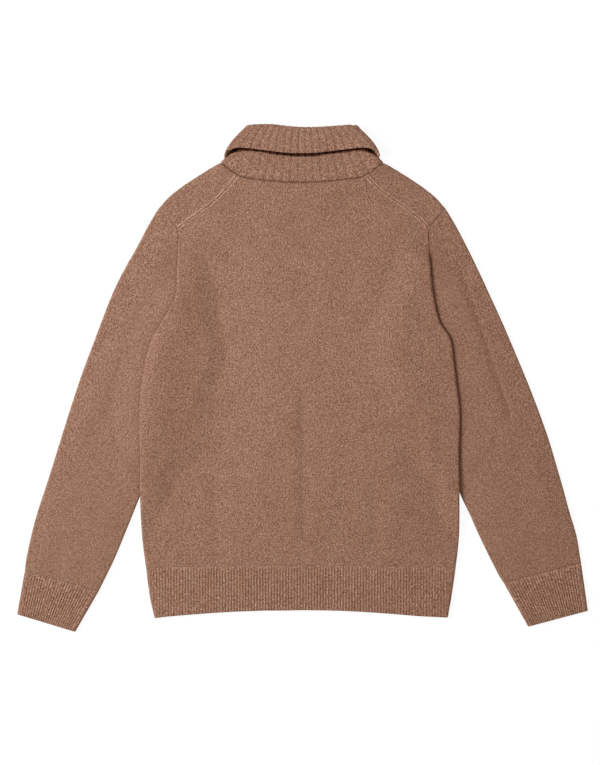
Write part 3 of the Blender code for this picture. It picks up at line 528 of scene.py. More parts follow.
def makeFront():
    gap, half = cloth["seamGap"], cloth["jersey"] + cloth["layerGap"] / 2
    folds = np.linspace(0, 1, 33)
    fold = along(shoulderLine, folds)
    low = np.linspace(bandTop + cloth["linkGap"], armholeTop, 90)
    rise = np.linspace(0, 1, 8)[1:-1]
    tip = np.array(shoulderTip, float)
    heights = np.concatenate([low, armholeTop + (tip[1] - armholeTop) * rise, fold[:, 1]])[:, None]
    ends = {}
    for side in (left, right):
        corner = bodyEdge(armholeTop, side)
        reach = np.concatenate([bodyEdge(low, side), corner + (tip[0] - corner) * rise, fold[:, 0]])
        ends[side] = side * reach[:, None]
    firstFold = len(heights) - len(folds)
    width = ends[right] - ends[left]
    places = columnPlaces(width, half, 72)
    share = places / width
    x = ends[left] + places
    steps = np.arange(len(heights))[:, None]
    fade = ease((heights - body["frontFade"]) / (neckPoint[1] - body["frontFade"]))
    drop = frontNeck(neckPoint[0] * (2 * share - 1)) - neckPoint[1] - gap
    y = heights + bandBend(heights, share) + fade * drop
    roll = np.where(steps >= firstFold, 1.0, stepShare(heights))
    angle = turnAngles(x.shape[1])
    inwardX, inwardY = -np.sign(x), np.zeros_like(x)
    for side in (left, right):
        rows = slice(firstFold, None)
        columns = slice(0, len(edgeAngles)) if side == left else slice(-len(edgeAngles), None)
        ix, iy = foldInward(folds, side)
        reach = half * (1 - np.cos(angle[columns]))
        atNeck = (folds == 1)[:, None] * (gap + fall["neckGap"])
        x[rows, columns] = side * fold[:, :1] + ix * reach
        y[rows, columns] = fold[:, 1:] + iy * reach - atNeck
        inwardX[rows, columns], inwardY[rows, columns] = ix, iy
    outer, inner = layerPair(x, y, -1, cloth["jersey"], angle, roll, bodyGap(x, y), 0.0, (inwardX, inwardY))
    sheets = [(outer, inner, np.stack([x, y - 2000], axis=-1), np.full(x.shape, body["rim"]), 0.0)]
    for side in (left, right):
        end = 0 if side == left else -1
        sheets.append(shoulderStrip(side, folds, fold, (outer[firstFold:, end], inner[firstFold:, end]), half))
    return makeWall("frontPanel", sheets)


# the part of the front that is turned over one shoulder
def shoulderStrip(side, folds, fold, edge, half):
    gap = cloth["seamGap"]
    heights = armholeTop + (backNeck(backNeckCorner) - armholeTop) * folds
    seam = np.stack([shoulderSeam(heights, side), heights], axis=1) + cloth["linkGap"]
    length = np.linalg.norm(seam - fold, axis=1)[:, None]
    near = half * (1 - np.cos(edgeAngles[1:]))
    far = np.array([5, 3.6, 2.6, 1.9, 1.2, 0.6, 0])
    inner = half + 1.5 + (length - 7 - half - 1.5) * np.linspace(0, 1, 12)[None]
    places = np.concatenate([np.broadcast_to(near, (len(folds), len(near))), inner, length - far], axis=1)
    share = places / length
    x = side * (fold[:, :1] + (seam - fold)[:, :1] * share)
    y = fold[:, 1:] + (seam - fold)[:, 1:] * share
    y[-1] = backNeck(x[-1]) - gap - fall["neckGap"] * (1 - share[-1])
    ix, iy = foldInward(folds, side)
    angle = np.full(x.shape[1], math.pi / 2)
    angle[: len(near)] = edgeAngles[1:]
    raised = seamWelt(length - places)
    # painted highlight on the welt and painted shade in the shoulder and neck seams
    light = -welt["light"] * raised / welt["height"] + welt["dark"] * bump(length - places, welt["darkWidth"])
    light = light + welt["neckDark"] * bump((1 - folds[:, None]) * welt["neckLength"], welt["neckWidth"])
    raised = raised + welt["neckHeight"] * seamWelt(folds[:, None] * welt["neckLength"]) * ease(places / 8)
    outer, deep = layerPair(x, y, 1, cloth["jersey"], angle, 1.0, bodyGap(x, y), raised, (ix, iy))
    outer = np.concatenate([edge[0][:, None], outer], axis=1)
    deep = np.concatenate([edge[1][:, None], deep], axis=1)
    uv = np.stack([outer[..., 0], outer[..., 1]], axis=-1)
    light = np.concatenate([light[:, :1], light], axis=1)
    return outer, deep, uv, np.full(uv.shape[:2], body["rim"]), light


# nodes: the sockets of a group, one node with its links, and one sum
def socketsOf(group, ins, outs):
    for name, kind, value in ins:
        socket = group.interface.new_socket(name, in_out="INPUT", socket_type=kind)
        if value is not None:
            socket.default_value = value
    for name, kind in outs:
        group.interface.new_socket(name, in_out="OUTPUT", socket_type=kind)


def node(tree, kind, links=None, **settings):
    made = tree.nodes.new(kind)
    for key, value in settings.items():
        setattr(made, key, value)
    for socket, value in (links or {}).items():
        target = made.inputs[socket]
        if isinstance(value, bpy.types.NodeSocket):
            tree.links.new(value, target)
        else:
            target.default_value = value
    return made


def maths(tree, operation, a, b=0.0):
    return node(tree, "ShaderNodeMath", {0: a, 1: b}, operation=operation).outputs[0]


# Rounded ribs with narrow grooves between them, for both bands and the collar. They are grown on a plain wall whose
# points carry the way out (ribWay), the place among the ribs (ribCount) and how a rib changes the painted shading
# (ribShade), which paints the hollows between ribs darker. deep is how much painted shade the rib hollows get, and
# cuffLight is a painted highlight along the cuff's top.
rib = {"hem": 101, "hemPitch": 4.45, "hemWidth": 470.0, "cuff": 24, "cuffLength": 67, "steps": 8, "height": 1.1,
       "sharp": 0.8, "mean": 0.5, "deep": 0.85, "fade": 2.5, "sideFade": 4, "topHeight": 0.3, "edgeRound": 1.2,
       "cuffLight": 0.4}


def makeRibTree():
    tree = bpy.data.node_groups.new("knitRibs", "GeometryNodeTree")
    socketsOf(
        tree,
        [("Geometry", "NodeSocketGeometry", None), ("Height", "NodeSocketFloat", 0.001),
         ("Sharpness", "NodeSocketFloat", 0.8), ("Split", "NodeSocketFloat", 0.0), ("Lowest", "NodeSocketFloat", 0.0),
         ("Wool", "NodeSocketMaterial", None)],
        [("Geometry", "NodeSocketGeometry")],
    )
    given, result = tree.nodes.new("NodeGroupInput"), tree.nodes.new("NodeGroupOutput")
    stored = {}
    for name, kind in (("ribWay", "FLOAT_VECTOR"), ("ribCount", "FLOAT"), ("ribShade", "FLOAT"), ("paintedShading", "FLOAT")):
        found = node(tree, "GeometryNodeInputNamedAttribute", {"Name": name}, data_type=kind)
        stored[name] = found.outputs["Attribute"]
    swing = maths(tree, "COSINE", maths(tree, "MULTIPLY", stored["ribCount"], math.tau))
    rounded = maths(tree, "ADD", maths(tree, "MULTIPLY", swing, 0.5), 0.5)
    rounded = maths(tree, "POWER", rounded, given.outputs["Sharpness"])
    split = maths(tree, "MULTIPLY", given.outputs["Split"], maths(tree, "MULTIPLY", swing, swing))
    wave = maths(tree, "MULTIPLY", rounded, maths(tree, "SUBTRACT", 1.0, split))
    reach = maths(tree, "MULTIPLY", wave, given.outputs["Height"])
    offset = node(tree, "ShaderNodeVectorMath", {0: stored["ribWay"], "Scale": reach}, operation="SCALE")
    # painted shade in the rib hollows: the wave changes the painted shading
    shade = maths(tree, "ADD", stored["paintedShading"], maths(tree, "MULTIPLY", stored["ribShade"], wave))
    raised = node(tree, "GeometryNodeSetPosition", {"Geometry": given.outputs["Geometry"], "Offset": offset.outputs[0]})
    place = node(tree, "ShaderNodeSeparateXYZ", {0: node(tree, "GeometryNodeInputPosition").outputs[0]})
    height = maths(tree, "MAXIMUM", place.outputs[2], given.outputs["Lowest"])
    kept = node(tree, "ShaderNodeCombineXYZ", {0: place.outputs[0], 1: place.outputs[1], 2: height})
    rested = node(tree, "GeometryNodeSetPosition", {"Geometry": raised.outputs[0], "Position": kept.outputs[0]})
    shaded = node(tree, "GeometryNodeStoreNamedAttribute", {"Geometry": rested.outputs[0], "Name": "paintedShading",
                                                            "Value": shade}, data_type="FLOAT", domain="POINT")
    whole = node(tree, "GeometryNodeRealizeInstances", {"Geometry": shaded.outputs[0]})
    dressed = node(tree, "GeometryNodeSetMaterial", {"Geometry": whole.outputs[0], "Material": given.outputs["Wool"]})
    tree.links.new(dressed.outputs[0], result.inputs["Geometry"])
    return tree


ribTree = makeRibTree()


# grows the ribs on a plain wall and keeps the result as a plain mesh
def growRibs(piece, values):
    plain, grow = piece.data, piece.modifiers.new("ribs", "NODES")
    grow.node_group = ribTree
    for socket in ribTree.interface.items_tree:
        if socket.in_out == "INPUT" and socket.name in values:
            grow[socket.identifier] = values[socket.name]
    ribbed = bpy.data.meshes.new_from_object(piece.evaluated_get(bpy.context.evaluated_depsgraph_get()))
    piece.modifiers.remove(grow)
    piece.data = ribbed
    bpy.data.meshes.remove(plain)
    ribbed.name = piece.name
    for name in ("ribWay", "ribCount", "ribShade"):
        ribbed.attributes.remove(ribbed.attributes[name])


# what the ribs of a hem or cuff need
def bandRibs(count, way, shade, wool):
    tree = {"Height": rib["height"] * toRow["scale"], "Sharpness": rib["sharp"], "Wool": wool}
    return {"count": count, "outerWay": way, "innerWay": 0 * way, "shade": shade, "tree": tree}


def makeHem(name, level, wool):
    inner, wide = rib["hem"] * rib["steps"], rib["hemWidth"]
    heights = np.concatenate([[0, 0.012, 0.03], np.linspace(0.06, 1, 14)])[:, None]
    share = columnPlaces(np.full((1, 1), wide), cloth["jersey"], inner) / wide
    lowest = hemEdge(-bodyEdge(0, left) + (bodyEdge(0, left) + bodyEdge(0, right)) * share) + 1.2
    y = lowest + (bandTop + bandRise(share) - lowest) * heights
    at = bandTop * heights
    x = -bodyEdge(at, left) + (bodyEdge(at, right) + bodyEdge(at, left)) * share
    fromTop = (1 - heights) * bandTop
    topFade = ease(fromTop / rib["fade"])
    fade = topFade * ease(np.minimum(share, 1 - share) * wide / rib["sideFade"])
    plain = rib["topHeight"] * (1 - topFade) if level > 0 else -rib["height"] * fade
    layer = (x, y, level, cloth["band"], turnAngles(share.size), 1.0, cloth["layerGap"] + 0 * x)
    outer, deep = layerPair(*layer, plain)
    way = layerPair(*layer, plain + fade)[0] - outer
    uv = np.stack([share * wide + 0 * x, y], axis=-1)
    bulge = np.where(heights == 0, rib["edgeRound"], body["rim"]) + 0 * x
    # painted shade in the rib hollows and the back's painted shade, with a painted highlight along the band's top
    paintedShading = rib["deep"] * rib["mean"] * topFade + paintedShadeAt(x, y) - welt["bandLight"] * bump(fromTop, welt["bandWidth"])
    ribs = bandRibs(x / rib["hemPitch"], way, -rib["deep"] * topFade + 0 * x, wool)
    return makeWall(name, [(outer, deep, uv, bulge, paintedShading)], ribs)


# shade, wideShade, topShade and creaseShade are painted shade on the sleeves
sleeve = {"crown": {left: 1.1, right: 3.6}, "rising": {left: 30, right: 3.6}, "under": {left: 0, right: 2.2},
          "shade": {left: 0.0, right: 0.5}, "shadeWidth": 3.5, "wideShade": 0.35, "wideWidth": 9, "topShade": 0.25,
          "creaseShade": 0.3, "clearance": 0.6, "fallsOff": 60, "cuffFade": 60, "uneven": 0.3, "unevenSize": 60,
          "seed": 7, "across": 110, "below": 30, "rows": 150}


# the sleeve's upper edge: along the armhole, then hidden under the body down to the underarm
def armholeLine(side):
    corner = (float(bodyEdge(armholeTop, side)), armholeTop)
    shown = [shoulderTip, ((shoulderTip[0] + corner[0]) / 2, (shoulderTip[1] + corner[1]) / 2), corner]
    shown += [(float(bodyEdge(h, side)), h) for h in (592, 583, 568, 552)]
    hidden = [(float(tuckEdge(h, side)), h) for h in (545, 528, 509, 490, 466, 443, 420, 402)]
    return np.array(shown + hidden) + [cloth["seamGap"] * 1.2, -cloth["seamGap"] * 0.8]


def edgeLine(table, start, end, side):
    heights = np.linspace(start[1], end[1], 40)[1:-1]
    return np.concatenate([[start], np.stack([table(heights, side), heights], axis=1), [end]])


def sleeveSides(side):
    outerEnd, innerEnd = cuffCorners[side][:2]
    armhole = armholeLine(side)
    outer = edgeLine(sleeveOuter, armhole[0], outerEnd, side)
    inner = edgeLine(sleeveInner, armhole[-1], innerEnd, side)
    return armhole, np.array([outerEnd, innerEnd]), outer, inner


# points inside four edges that meet at their corners
def patch(edges, across, down):
    top, bottom, outer, inner = (np.array(e, float) for e in edges)
    upper, lower = along(top, across), along(bottom, across)
    near, far = along(outer, down), along(inner, down)
    across, down = across[..., None], down[..., None]
    flat = (top[0] + (top[-1] - top[0]) * across) * (1 - down)
    flat = flat + (bottom[0] + (bottom[-1] - bottom[0]) * across) * down
    return upper + (lower - upper) * down + near + (far - near) * across - flat


def sleeveHeight(x, y, share, side):
    edge = bodyEdge(np.clip(y, 0, armholeTop), side)
    shown = np.where(y < lift["top"], ease((np.abs(x) - edge + sleeve["under"][side]) / sleeve["rising"][side]), 1.0)
    above = y - np.interp(np.abs(x), *zip(*sorted(cuffCorners[side][:2])))
    crown = sleeve["crown"][side] * ease(1.5 * np.sin(np.pi * np.clip(share, 0, 1))) * ease(above / sleeve["cuffFade"])
    crown = crown + foldSum(sleeveFolds[side], np.abs(x), y)
    wave = sleeve["uneven"] * unevenness(x, y, sleeve["unevenSize"], sleeve["seed"] + side)
    crown = crown + wave * np.sin(np.pi * share)
    flat = 2 * cloth["jersey"] + cloth["layerGap"] * 0.7
    fill = (tuckLift(x, y) - flat - sleeve["clearance"]) * (1 - ease((np.abs(x) - edge) / sleeve["fallsOff"]))
    return flat + np.maximum(np.maximum(0, crown) * shown, fill)


# painted shade on the sleeve beside the body's edge, where the body shadows it, and in the creases
def sleeveShade(x, y, side):
    beside = np.abs(x) - bodyEdge(np.clip(y, 0, armholeTop), side)
    shade = bump(beside - 0.8, sleeve["shadeWidth"]) + sleeve["wideShade"] * bump(beside, sleeve["wideWidth"])
    shade = sleeve["shade"][side] * shade * stepShare(y)
    atTop = (1 - stepShare(y)) * (y < armholeTop) * (side > 0)
    shade = shade + sleeve["topShade"] * bump(beside, sleeve["shadeWidth"]) * atTop
    for start, end, width, _ in sleeveFolds[side]:
        crease = bump(offSegment(np.abs(x), y, start, end)[0], width / 2.5) * (width < 7)
        shade = shade + sleeve["creaseShade"] * crease
    return shade


def cuffHeight(x, y, share, side):
    return 2 * cloth["band"] + cloth["layerGap"] * 0.7 + 0 * x


# a flattened tube that lies on the floor, with ribs on both faces where a number of ribs is given
def makeTube(name, side, edges, downs, over, under, thick, heightAt, count=0, endRound=None, wool=None):
    half = thick + cloth["layerGap"] / 2
    downs = np.asarray(downs, float)
    ends = patch(edges, np.array([0.0, 1.0])[None] + 0 * downs[:, None], downs[:, None] + np.zeros((1, 2)))
    width = np.linalg.norm(ends[:, 1] - ends[:, 0], axis=1)[:, None]
    turn = half * (1 - np.cos(edgeAngles))[None] / width
    turn = np.concatenate([turn, (half + np.array([1.5, 4.0]))[None] / width], axis=1)
    angles = np.concatenate([edgeAngles, [math.pi / 2] * 2])
    start = turn[:, -1:]
    run = start + (1 - 2 * start) * np.arange(1, over)[None] / over
    back = start + (1 - 2 * start) * np.arange(under - 1, 0, -1)[None] / under
    share = np.concatenate([turn, run, 1 - turn[:, ::-1], 1 - turn[:, 1:], back, turn[:, :0:-1], turn[:, :1]], axis=1)
    level = np.concatenate([
        np.ones(2 * len(angles) + over - 1), -np.ones(2 * len(angles) - 2 + under - 1), np.ones(1),
    ])
    angle = np.concatenate([
        angles, np.full(over - 1, math.pi / 2), angles[::-1], angles[1:], np.full(under - 1, math.pi / 2),
        angles[:0:-1], angles[:1],
    ])
    place = patch(edges, share, downs[:, None] + 0 * share)
    x, y = side * place[..., 0], place[..., 1]
    high = heightAt(x, y, share, side)
    # the sleeve's upper face takes painted shade beside the body's edge and in its creases
    raised, paintedShading, ribs = 0, sleeveShade(x, y, side) * (level > 0), None
    if count:
        fromTop = downs[:, None] * rib["cuffLength"]
        topFade = ease(fromTop / rib["fade"])
        fade = topFade * ease(np.minimum(share, 1 - share) * width / rib["sideFade"])
        raised = np.where(level > 0, rib["topHeight"] * (1 - topFade), -rib["height"] * fade)
        # painted shade in the rib hollows, with a painted highlight along the cuff's top
        paintedShading = rib["deep"] * rib["mean"] * topFade - rib["cuffLight"] * bump(fromTop, welt["bandWidth"])
        way = np.zeros((*x.shape, 3))
        way[..., 2] = level * fade * (np.sin(angle) > 0.9999)
        ribs = bandRibs((share - start) / (1 - 2 * start) * count, way, -rib["deep"] * topFade + 0 * x, wool)
    halfHigh, core = high / 2, high / 2 - thick
    outerZ = halfHigh + level * (halfHigh * np.sin(angle) + raised * (np.sin(angle) > 0.9999))
    innerZ = halfHigh + level * core * np.sin(angle)
    ahead = patch(edges, np.where(share < 0.5, share + 0.01, share - 0.01), downs[:, None] + 0 * share) - place
    ahead /= np.linalg.norm(ahead, axis=-1, keepdims=True) + 1e-9
    inward = thick * np.cos(angle)
    outer = np.stack([x, y, outerZ], axis=-1)
    inner = np.stack([x + side * ahead[..., 0] * inward, y + ahead[..., 1] * inward, innerZ], axis=-1)
    length = np.linalg.norm(np.diff(place[:, share.shape[1] // 4], axis=0), axis=1)
    alongIt = np.concatenate([[0], np.cumsum(length)])[:, None]
    roundIt = np.where(level > 0, share, 2 - share)
    roundIt[:, -1] = 2
    uv = np.stack([roundIt * width.mean(), alongIt + 0 * share], axis=-1)
    bulge = np.full(x.shape, body["rim"])
    bulge[-1] = endRound or body["rim"]
    return makeWall(name, [(outer, inner, uv, bulge, paintedShading)], ribs)


# a plain sleeve and its ribbed cuff
def makeSleeve(side, word):
    downs = np.concatenate([[0, 0.002, 0.005, 0.009], np.linspace(0.014, 1, sleeve["rows"])])
    return makeTube(f"sleeve{word}", side, sleeveSides(side), downs, sleeve["across"], sleeve["below"], cloth["jersey"],
                    sleeveHeight)


def makeCuff(side, word, wool):
    a, b, c, d = (np.array(p, float) for p in cuffCorners[side])
    edges = ([a, b], [c, d], [a, c], [b, d])
    downs = np.concatenate([np.linspace(cloth["linkGap"] / 65, 0.95, 14), [0.975, 0.99]])
    return makeTube(f"cuff{word}", side, edges, downs, rib["cuff"] * rib["steps"], rib["cuff"] * 4, cloth["band"],
                    cuffHeight, rib["cuff"], rib["edgeRound"], wool)


collarSteps = {"perRib": 8, "turn": 15}


# (run, place) of each column round the neck: a share of the width on the back and front, degrees at the sides
def collarColumns():
    count = fall["ribs"] * collarSteps["perRib"]
    angles = np.arange(75, -76, -collarSteps["turn"])
    back = [("back", k / count) for k in range(count + 1)]
    front = [("front", 1 - k / count) for k in range(count + 1)]
    return back + [("right", a) for a in angles] + front + [("left", a) for a in angles[::-1]] + [("back", 0.0)]


def fanned(share):
    across = 2 * share - 1
    return across * (fall["straight"] + (1 - fall["straight"]) * across * across)


# a point on a flattened loop round the neck
def loopPoint(column, width, radius, middle, backAt, frontAt, sideAt, fan):
    run, at = column
    straight = width - radius
    if run in ("back", "front"):
        x = straight * (fanned(at) if fan else 2 * at - 1)
        y = float(backAt(x) if run == "back" else frontAt(x))
        return np.array([x, y, middle(x, y) + (radius if run == "back" else -radius)])
    turn = math.radians(at)
    side = right if run == "right" else left
    x = side * (straight + radius * math.cos(turn))
    end = float(backAt(straight) if at > 0 else frontAt(straight))
    sideAt = sideAt[side] if isinstance(sideAt, dict) else sideAt
    y = sideAt + (end - sideAt) * float(ease(abs(math.sin(turn))))
    return np.array([x, y, middle(x, y) + radius * math.sin(turn)])


def groundAt(x, y):
    return float(ground(np.array([x]), np.array([y]))[0])


# where the middle of the cloth is at the neck seam, at the top of the stand and at the turned-down edge
def standFoot(column):
    thick = cloth["collar"]
    radius = (thick + cloth["layerGap"]) / 2
    high = thick + cloth["layerGap"] / 2
    return loopPoint(column, neckPoint[0] - thick / 2, radius, lambda x, y: groundAt(x, y) + high, backNeck,
                     frontNeck, neckPoint[1], True)


def foldRadius(column):
    run, at = column
    ribbed = (cloth["collar"] + fall["rib"] + 2 * cloth["seamGap"]) / 2
    if run in ("front", "back"):
        return ribbed
    return ribbed + 0.5 * math.cos(math.radians(at))


def standTop(column):
    thick = cloth["collar"]
    reach = foldRadius(column) + thick / 2
    width = fall["fold"] - fall["foldReach"]
    high = lift["neck"] + thick + fall["foldGap"] / 2
    return loopPoint(
        column, width, (thick + fall["foldGap"]) / 2, lambda x, y: high,
        lambda x: foldTop(x) - reach,
        lambda x: fall["frontFold"] + (fall["sideFold"] - fall["frontFold"]) * (x / width) ** 4 - reach,
        fall["sideFold"] - reach, False,
    )


def freeEdge(column):
    thick = cloth["collar"]
    lowest = thick / 2 + fall["rib"] + 0.1
    fold = lift["neck"] + 2 * thick + fall["foldGap"] + fall["rib"] + 2 * cloth["seamGap"]
    highest = fold + thick / 2 + fall["edgeLift"]
    return loopPoint(column, fall["width"] - thick / 2, (highest - lowest) / 2, lambda x, y: (highest + lowest) / 2,
                     lambda x: fallBackCurve(abs(x)) + fall["edgeUp"], fallFront, fall["side"], True)


def bowed(point, amount):
    return point * [1 + amount / fall["fold"], 1, 1]


# the middle line of the collar at a column: points, the way out of the neck side, and whether it is on the stand
def collarProfile(column):
    run, at = column
    foot, top, edge = standFoot(column), standTop(column), freeEdge(column)
    up = (top - foot) / np.linalg.norm(top - foot)
    turned = math.cos(math.radians(at)) if run in ("left", "right") else 0.0
    if turned:
        side = right if run == "right" else left
        up = np.array([up[0] * fall["lean"], up[1], 0])
        up /= np.linalg.norm(up)
        out = np.array([side * up[1] * turned, -side * up[0] * turned, math.sin(math.radians(at))])
    else:
        out = np.array([0, 0, 1.0 if run == "back" else -1.0])
    footRise, topRise = foot[2] - groundAt(*foot[:2]), top[2] - lift["neck"]
    points, ways, onStand = [], [], []
    for share in np.concatenate([[0, 0.015, 0.04, 0.08, 0.12], np.linspace(0.17, 0.8, 26), np.linspace(0.85, 1, 4)]):
        x, y, _ = bowed(foot + (top - foot) * share, fall["standBow"] * 4 * share * (1 - share))
        rise = (cloth["seamGap"] + fall["neckGap"] * turned) * (1 - share)
        points.append([x, y + rise, groundAt(x, y) + footRise + (topRise - footRise) * share])
        ways.append(-out)
        onStand.append(1)
    radius = foldRadius(column)
    for turn in np.radians(np.linspace(0, 180, 13)[1:-1]):
        radial = up * math.sin(turn) - out * math.cos(turn)
        points.append(top + out * radius + radial * radius)
        ways.append(radial)
        onStand.append(0)
    start = top + 2 * radius * out
    for share in np.linspace(0, 1, 14):
        point = start + (edge - start) * share
        if run == "back":
            point[2] = start[2] + (edge[2] - start[2]) * share * share
        points.append(bowed(point, fall["bow"] * 4 * share * (1 - share)))
        ways.append(out)
        onStand.append(0)
    return np.array(points), np.array(ways), np.array(onStand)


def makeCollar(wool):
    half, perRib = cloth["collar"] / 2, collarSteps["perRib"]
    grids = {name: [] for name in ("outer", "inner", "uv", "paintedShading", "outerWay", "innerWay", "count", "shade")}
    for j, column in enumerate(collarColumns()):
        points, ways, onStand = collarProfile(column)
        run, at = column
        ribbed = run in ("back", "front")
        # painted shade in the rib hollows, painted shade in the crevice under the free edge and painted shade at the
        # neck seam
        deep = np.where(onStand == 1, fall["standPaintedShadeFactor"], fall["paintedShadeFactor"]) * ribbed
        pastEdge = (freeEdge(column)[1] - points[:, 1]) * (1 if run != "front" else -1)
        creviceShade = fall["creviceShade"] * onStand * (1 - ease((pastEdge - fall["creviceWidth"]) / fall["creviceFade"]))
        seam = welt["neckDark"] * onStand * bump(points[:, 1] - points[0, 1], welt["neckWidth"])
        length = np.concatenate([[0], np.cumsum(np.linalg.norm(np.diff(points, axis=0), axis=1))])
        grids["outer"].append(points + ways * half)
        grids["inner"].append(points - ways * half)
        grids["uv"].append(np.stack([np.full(len(points), j / perRib * fall["ribPitch"]), length], axis=-1))
        grids["paintedShading"].append(deep * rib["mean"] + creviceShade + seam)
        grids["outerWay"].append(ways * (1 - onStand)[:, None] * ribbed)
        grids["innerWay"].append(-ways * onStand[:, None] * ribbed)
        grids["count"].append(np.full(len(points), at * fall["ribs"] + 0.5 if ribbed else 0.5))
        grids["shade"].append(-deep)
    grids = {name: np.stack(rows, axis=1) for name, rows in grids.items()}
    bulge = np.full(grids["outer"].shape[:2], body["rim"])
    bulge[-1] = fall["edgeRound"]
    grids["tree"] = {"Height": fall["rib"] * toRow["scale"], "Sharpness": fall["ribSharp"], "Split": fall["ribSplit"],
                     "Lowest": fall["lowest"] * toRow["scale"], "Wool": wool}
    return makeWall("ribbedCollar", [(grids["outer"], grids["inner"], grids["uv"], bulge, grids["paintedShading"])], grids)


# the marled wool: sizes in metres, the strength of the painted shade and highlight, and warm: how much more of each
# colour the painted shade takes away, so that it is warmer
yarn = {"wale": 0.0026, "course": 0.0021, "fleck": 0.0021, "stretch": {"jersey": 1.0, "band": 1.4, "collar": 1.3},
        "dark": (0.135, 0.054, 0.031), "middle": (0.335, 0.174, 0.113), "light": (0.575, 0.367, 0.270), "even": 0.48,
        "spread": 0.21, "contrast": 0.97, "depth": 0.0005, "relief": 0.6, "paintedShadeFactor": 0.48, "darkest": 0.03,
        "warm": (0.9, 1.13, 1.25), "roughness": 0.92, "sheen": 0.05, "sheenRoughness": 0.5,
        "sheenTint": (0.75, 0.5, 0.42), "gloss": 0.02}


# Heights of knitted stitches and the colour of marled yarn, from a map in metres; the colour carries painted shade in
# the low parts of each stitch
def knitGroup():
    tree = bpy.data.node_groups.new("marledKnit", "ShaderNodeTree")
    socketsOf(
        tree,
        [("Map", "NodeSocketVector", None), ("Wale", "NodeSocketFloat", 0.0026), ("Course", "NodeSocketFloat", 0.0021),
         ("Fleck", "NodeSocketFloat", 0.004), ("Stretch", "NodeSocketFloat", 1.0),
         ("Dark", "NodeSocketColor", (0.1, 0.05, 0.03, 1)),
         ("Middle", "NodeSocketColor", (0.3, 0.15, 0.1, 1)), ("Light", "NodeSocketColor", (0.5, 0.3, 0.2, 1))],
        [("Color", "NodeSocketColor"), ("Height", "NodeSocketFloat")],
    )
    given = tree.nodes.new("NodeGroupInput")
    result = tree.nodes.new("NodeGroupOutput")
    split = node(tree, "ShaderNodeSeparateXYZ", {0: given.outputs["Map"]})
    wales = maths(tree, "DIVIDE", split.outputs[0], given.outputs["Wale"])
    courses = maths(tree, "DIVIDE", split.outputs[1], given.outputs["Course"])
    inWale = maths(tree, "FRACT", wales)
    fromMiddle = maths(tree, "ABSOLUTE", maths(tree, "SUBTRACT", inWale, 0.5))
    slanted = maths(tree, "SUBTRACT", courses, maths(tree, "MULTIPLY", fromMiddle, 1.5))
    inCourse = maths(tree, "FRACT", slanted)
    loopRise = maths(tree, "SINE", maths(tree, "MULTIPLY", inCourse, math.pi))
    legRise = maths(tree, "SINE", maths(tree, "MULTIPLY", fromMiddle, math.tau))
    height = maths(tree, "MULTIPLY", maths(tree, "POWER", loopRise, 0.6), maths(tree, "POWER", legRise, 0.7))
    cell = node(tree, "ShaderNodeCombineXYZ", {
        0: maths(tree, "FLOOR", maths(tree, "MULTIPLY", wales, 2.0)), 1: maths(tree, "FLOOR", slanted),
    })
    perStitch = node(tree, "ShaderNodeTexWhiteNoise", {0: cell.outputs[0]}, noise_dimensions="2D")
    stretched = node(tree, "ShaderNodeCombineXYZ", {
        0: split.outputs[0], 1: maths(tree, "DIVIDE", split.outputs[1], given.outputs["Stretch"]),
    })
    scaled = node(tree, "ShaderNodeVectorMath", {0: stretched.outputs[0]}, operation="SCALE")
    tree.links.new(maths(tree, "DIVIDE", 1.0, given.outputs["Fleck"]), scaled.inputs["Scale"])
    flecks = node(tree, "ShaderNodeTexNoise", {"Vector": scaled.outputs[0], "Scale": 1.0, "Detail": 2.0,
                                               "Roughness": 0.6}, noise_dimensions="3D")
    soft = node(tree, "ShaderNodeTexNoise", {"Vector": scaled.outputs[0], "Scale": 0.06, "Detail": 2.0})
    mixed = maths(tree, "ADD", maths(tree, "MULTIPLY", flecks.outputs[0], 0.8),
                  maths(tree, "MULTIPLY", perStitch.outputs[0], 0.16))
    mixed = maths(tree, "ADD", mixed, maths(tree, "MULTIPLY", maths(tree, "SUBTRACT", soft.outputs[0], 0.5), 0.06))
    reach = yarn["spread"] / yarn["contrast"]
    ramp = node(tree, "ShaderNodeMapRange", {"Value": mixed, "From Min": yarn["even"] - reach,
                                             "From Max": yarn["even"] + reach})
    twice = maths(tree, "MULTIPLY", ramp.outputs[0], 2.0)
    low = node(tree, "ShaderNodeMix", {"Factor": twice}, data_type="RGBA")
    tree.links.new(given.outputs["Dark"], low.inputs[6])
    tree.links.new(given.outputs["Middle"], low.inputs[7])
    high = node(tree, "ShaderNodeMix", {"Factor": maths(tree, "SUBTRACT", twice, 1.0)}, data_type="RGBA")
    tree.links.new(low.outputs[2], high.inputs[6])
    tree.links.new(given.outputs["Light"], high.inputs[7])
    # painted shade: the low parts of each stitch darker, their tops slightly lighter
    paintedShadeFactor = node(tree, "ShaderNodeMapRange", {"Value": height, "To Min": 0.72, "To Max": 1.06})
    shaded = node(tree, "ShaderNodeMix", {"Factor": 1.0}, data_type="RGBA", blend_type="MULTIPLY")
    tree.links.new(high.outputs[2], shaded.inputs[6])
    tree.links.new(paintedShadeFactor.outputs[0], shaded.inputs[7])
    tree.links.new(shaded.outputs[2], result.inputs["Color"])
    tree.links.new(height, result.inputs["Height"])
    return tree


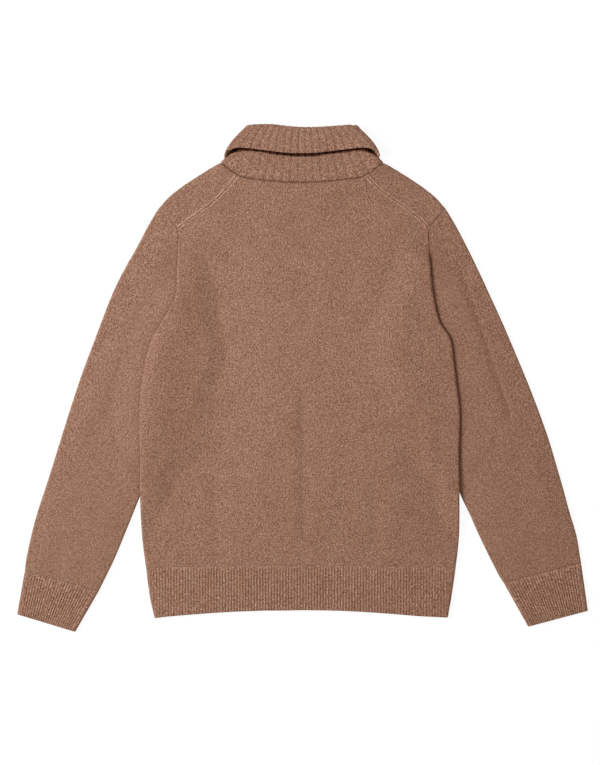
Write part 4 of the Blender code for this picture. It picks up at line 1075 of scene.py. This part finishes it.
def woolMaterial(kind, group):
    material = bpy.data.materials.new(kind)
    material.use_nodes = True
    tree = material.node_tree
    shader = tree.nodes["Principled BSDF"]
    uvMap = node(tree, "ShaderNodeUVMap", uv_map="UVMap")
    knit = node(tree, "ShaderNodeGroup", node_tree=group)
    tree.links.new(uvMap.outputs[0], knit.inputs["Map"])
    knit.inputs["Wale"].default_value = yarn["wale"]
    knit.inputs["Course"].default_value = yarn["course"]
    knit.inputs["Fleck"].default_value = yarn["fleck"]
    knit.inputs["Stretch"].default_value = yarn["stretch"][kind]
    for socket, key in (("Dark", "dark"), ("Middle", "middle"), ("Light", "light")):
        knit.inputs[socket].default_value = (*yarn[key], 1)
    # painted shade and painted highlight from the points darken or lighten the yarn's colour, the painted shade taking
    # more green and blue
    paintedShading = node(tree, "ShaderNodeAttribute", attribute_name="paintedShading").outputs["Fac"]
    shade = maths(tree, "SUBTRACT", 1.0, maths(tree, "MULTIPLY", paintedShading, yarn["paintedShadeFactor"]))
    shade = maths(tree, "MAXIMUM", yarn["darkest"], shade)
    paintedShadeFactor = node(tree, "ShaderNodeMix", {"Factor": 1.0}, data_type="RGBA", blend_type="MULTIPLY")
    warmed = node(tree, "ShaderNodeCombineColor", {n: maths(tree, "POWER", shade, yarn["warm"][n]) for n in range(3)})
    tree.links.new(knit.outputs["Color"], paintedShadeFactor.inputs[6])
    tree.links.new(warmed.outputs[0], paintedShadeFactor.inputs[7])
    stitch = node(tree, "ShaderNodeBump", {"Height": knit.outputs["Height"], "Strength": yarn["relief"],
                                           "Distance": yarn["depth"]})
    tree.links.new(paintedShadeFactor.outputs[2], shader.inputs["Base Color"])
    tree.links.new(stitch.outputs[0], shader.inputs["Normal"])
    shader.inputs["Roughness"].default_value = yarn["roughness"]
    shader.inputs["Sheen Weight"].default_value = yarn["sheen"]
    shader.inputs["Sheen Roughness"].default_value = yarn["sheenRoughness"]
    shader.inputs["Sheen Tint"].default_value = (*yarn["sheenTint"], 1)
    shader.inputs["Specular IOR Level"].default_value = yarn["gloss"]
    return material


makeStage()
print("stage set")
group = knitGroup()
jersey, band, collarWool = (woolMaterial(kind, group) for kind in ("jersey", "band", "collar"))
finishPiece(makeBack(), "back_panel", jersey)
finishPiece(makeFront(), "front_panel", jersey)
finishPiece(makeHem("hemBack", 1, band), "hem_back", band)
finishPiece(makeHem("hemFront", -1, band), "hem_front", band)
for side, word in ((left, "Left"), (right, "Right")):
    made = makeSleeve(side, word)
    finishPiece(made, f"sleeve_{word.lower()}", jersey)
    finishPiece(makeCuff(side, word, band), f"cuff_{word.lower()}", band)
finishPiece(makeCollar(collarWool), "collar", collarWool)
print("pieces made")
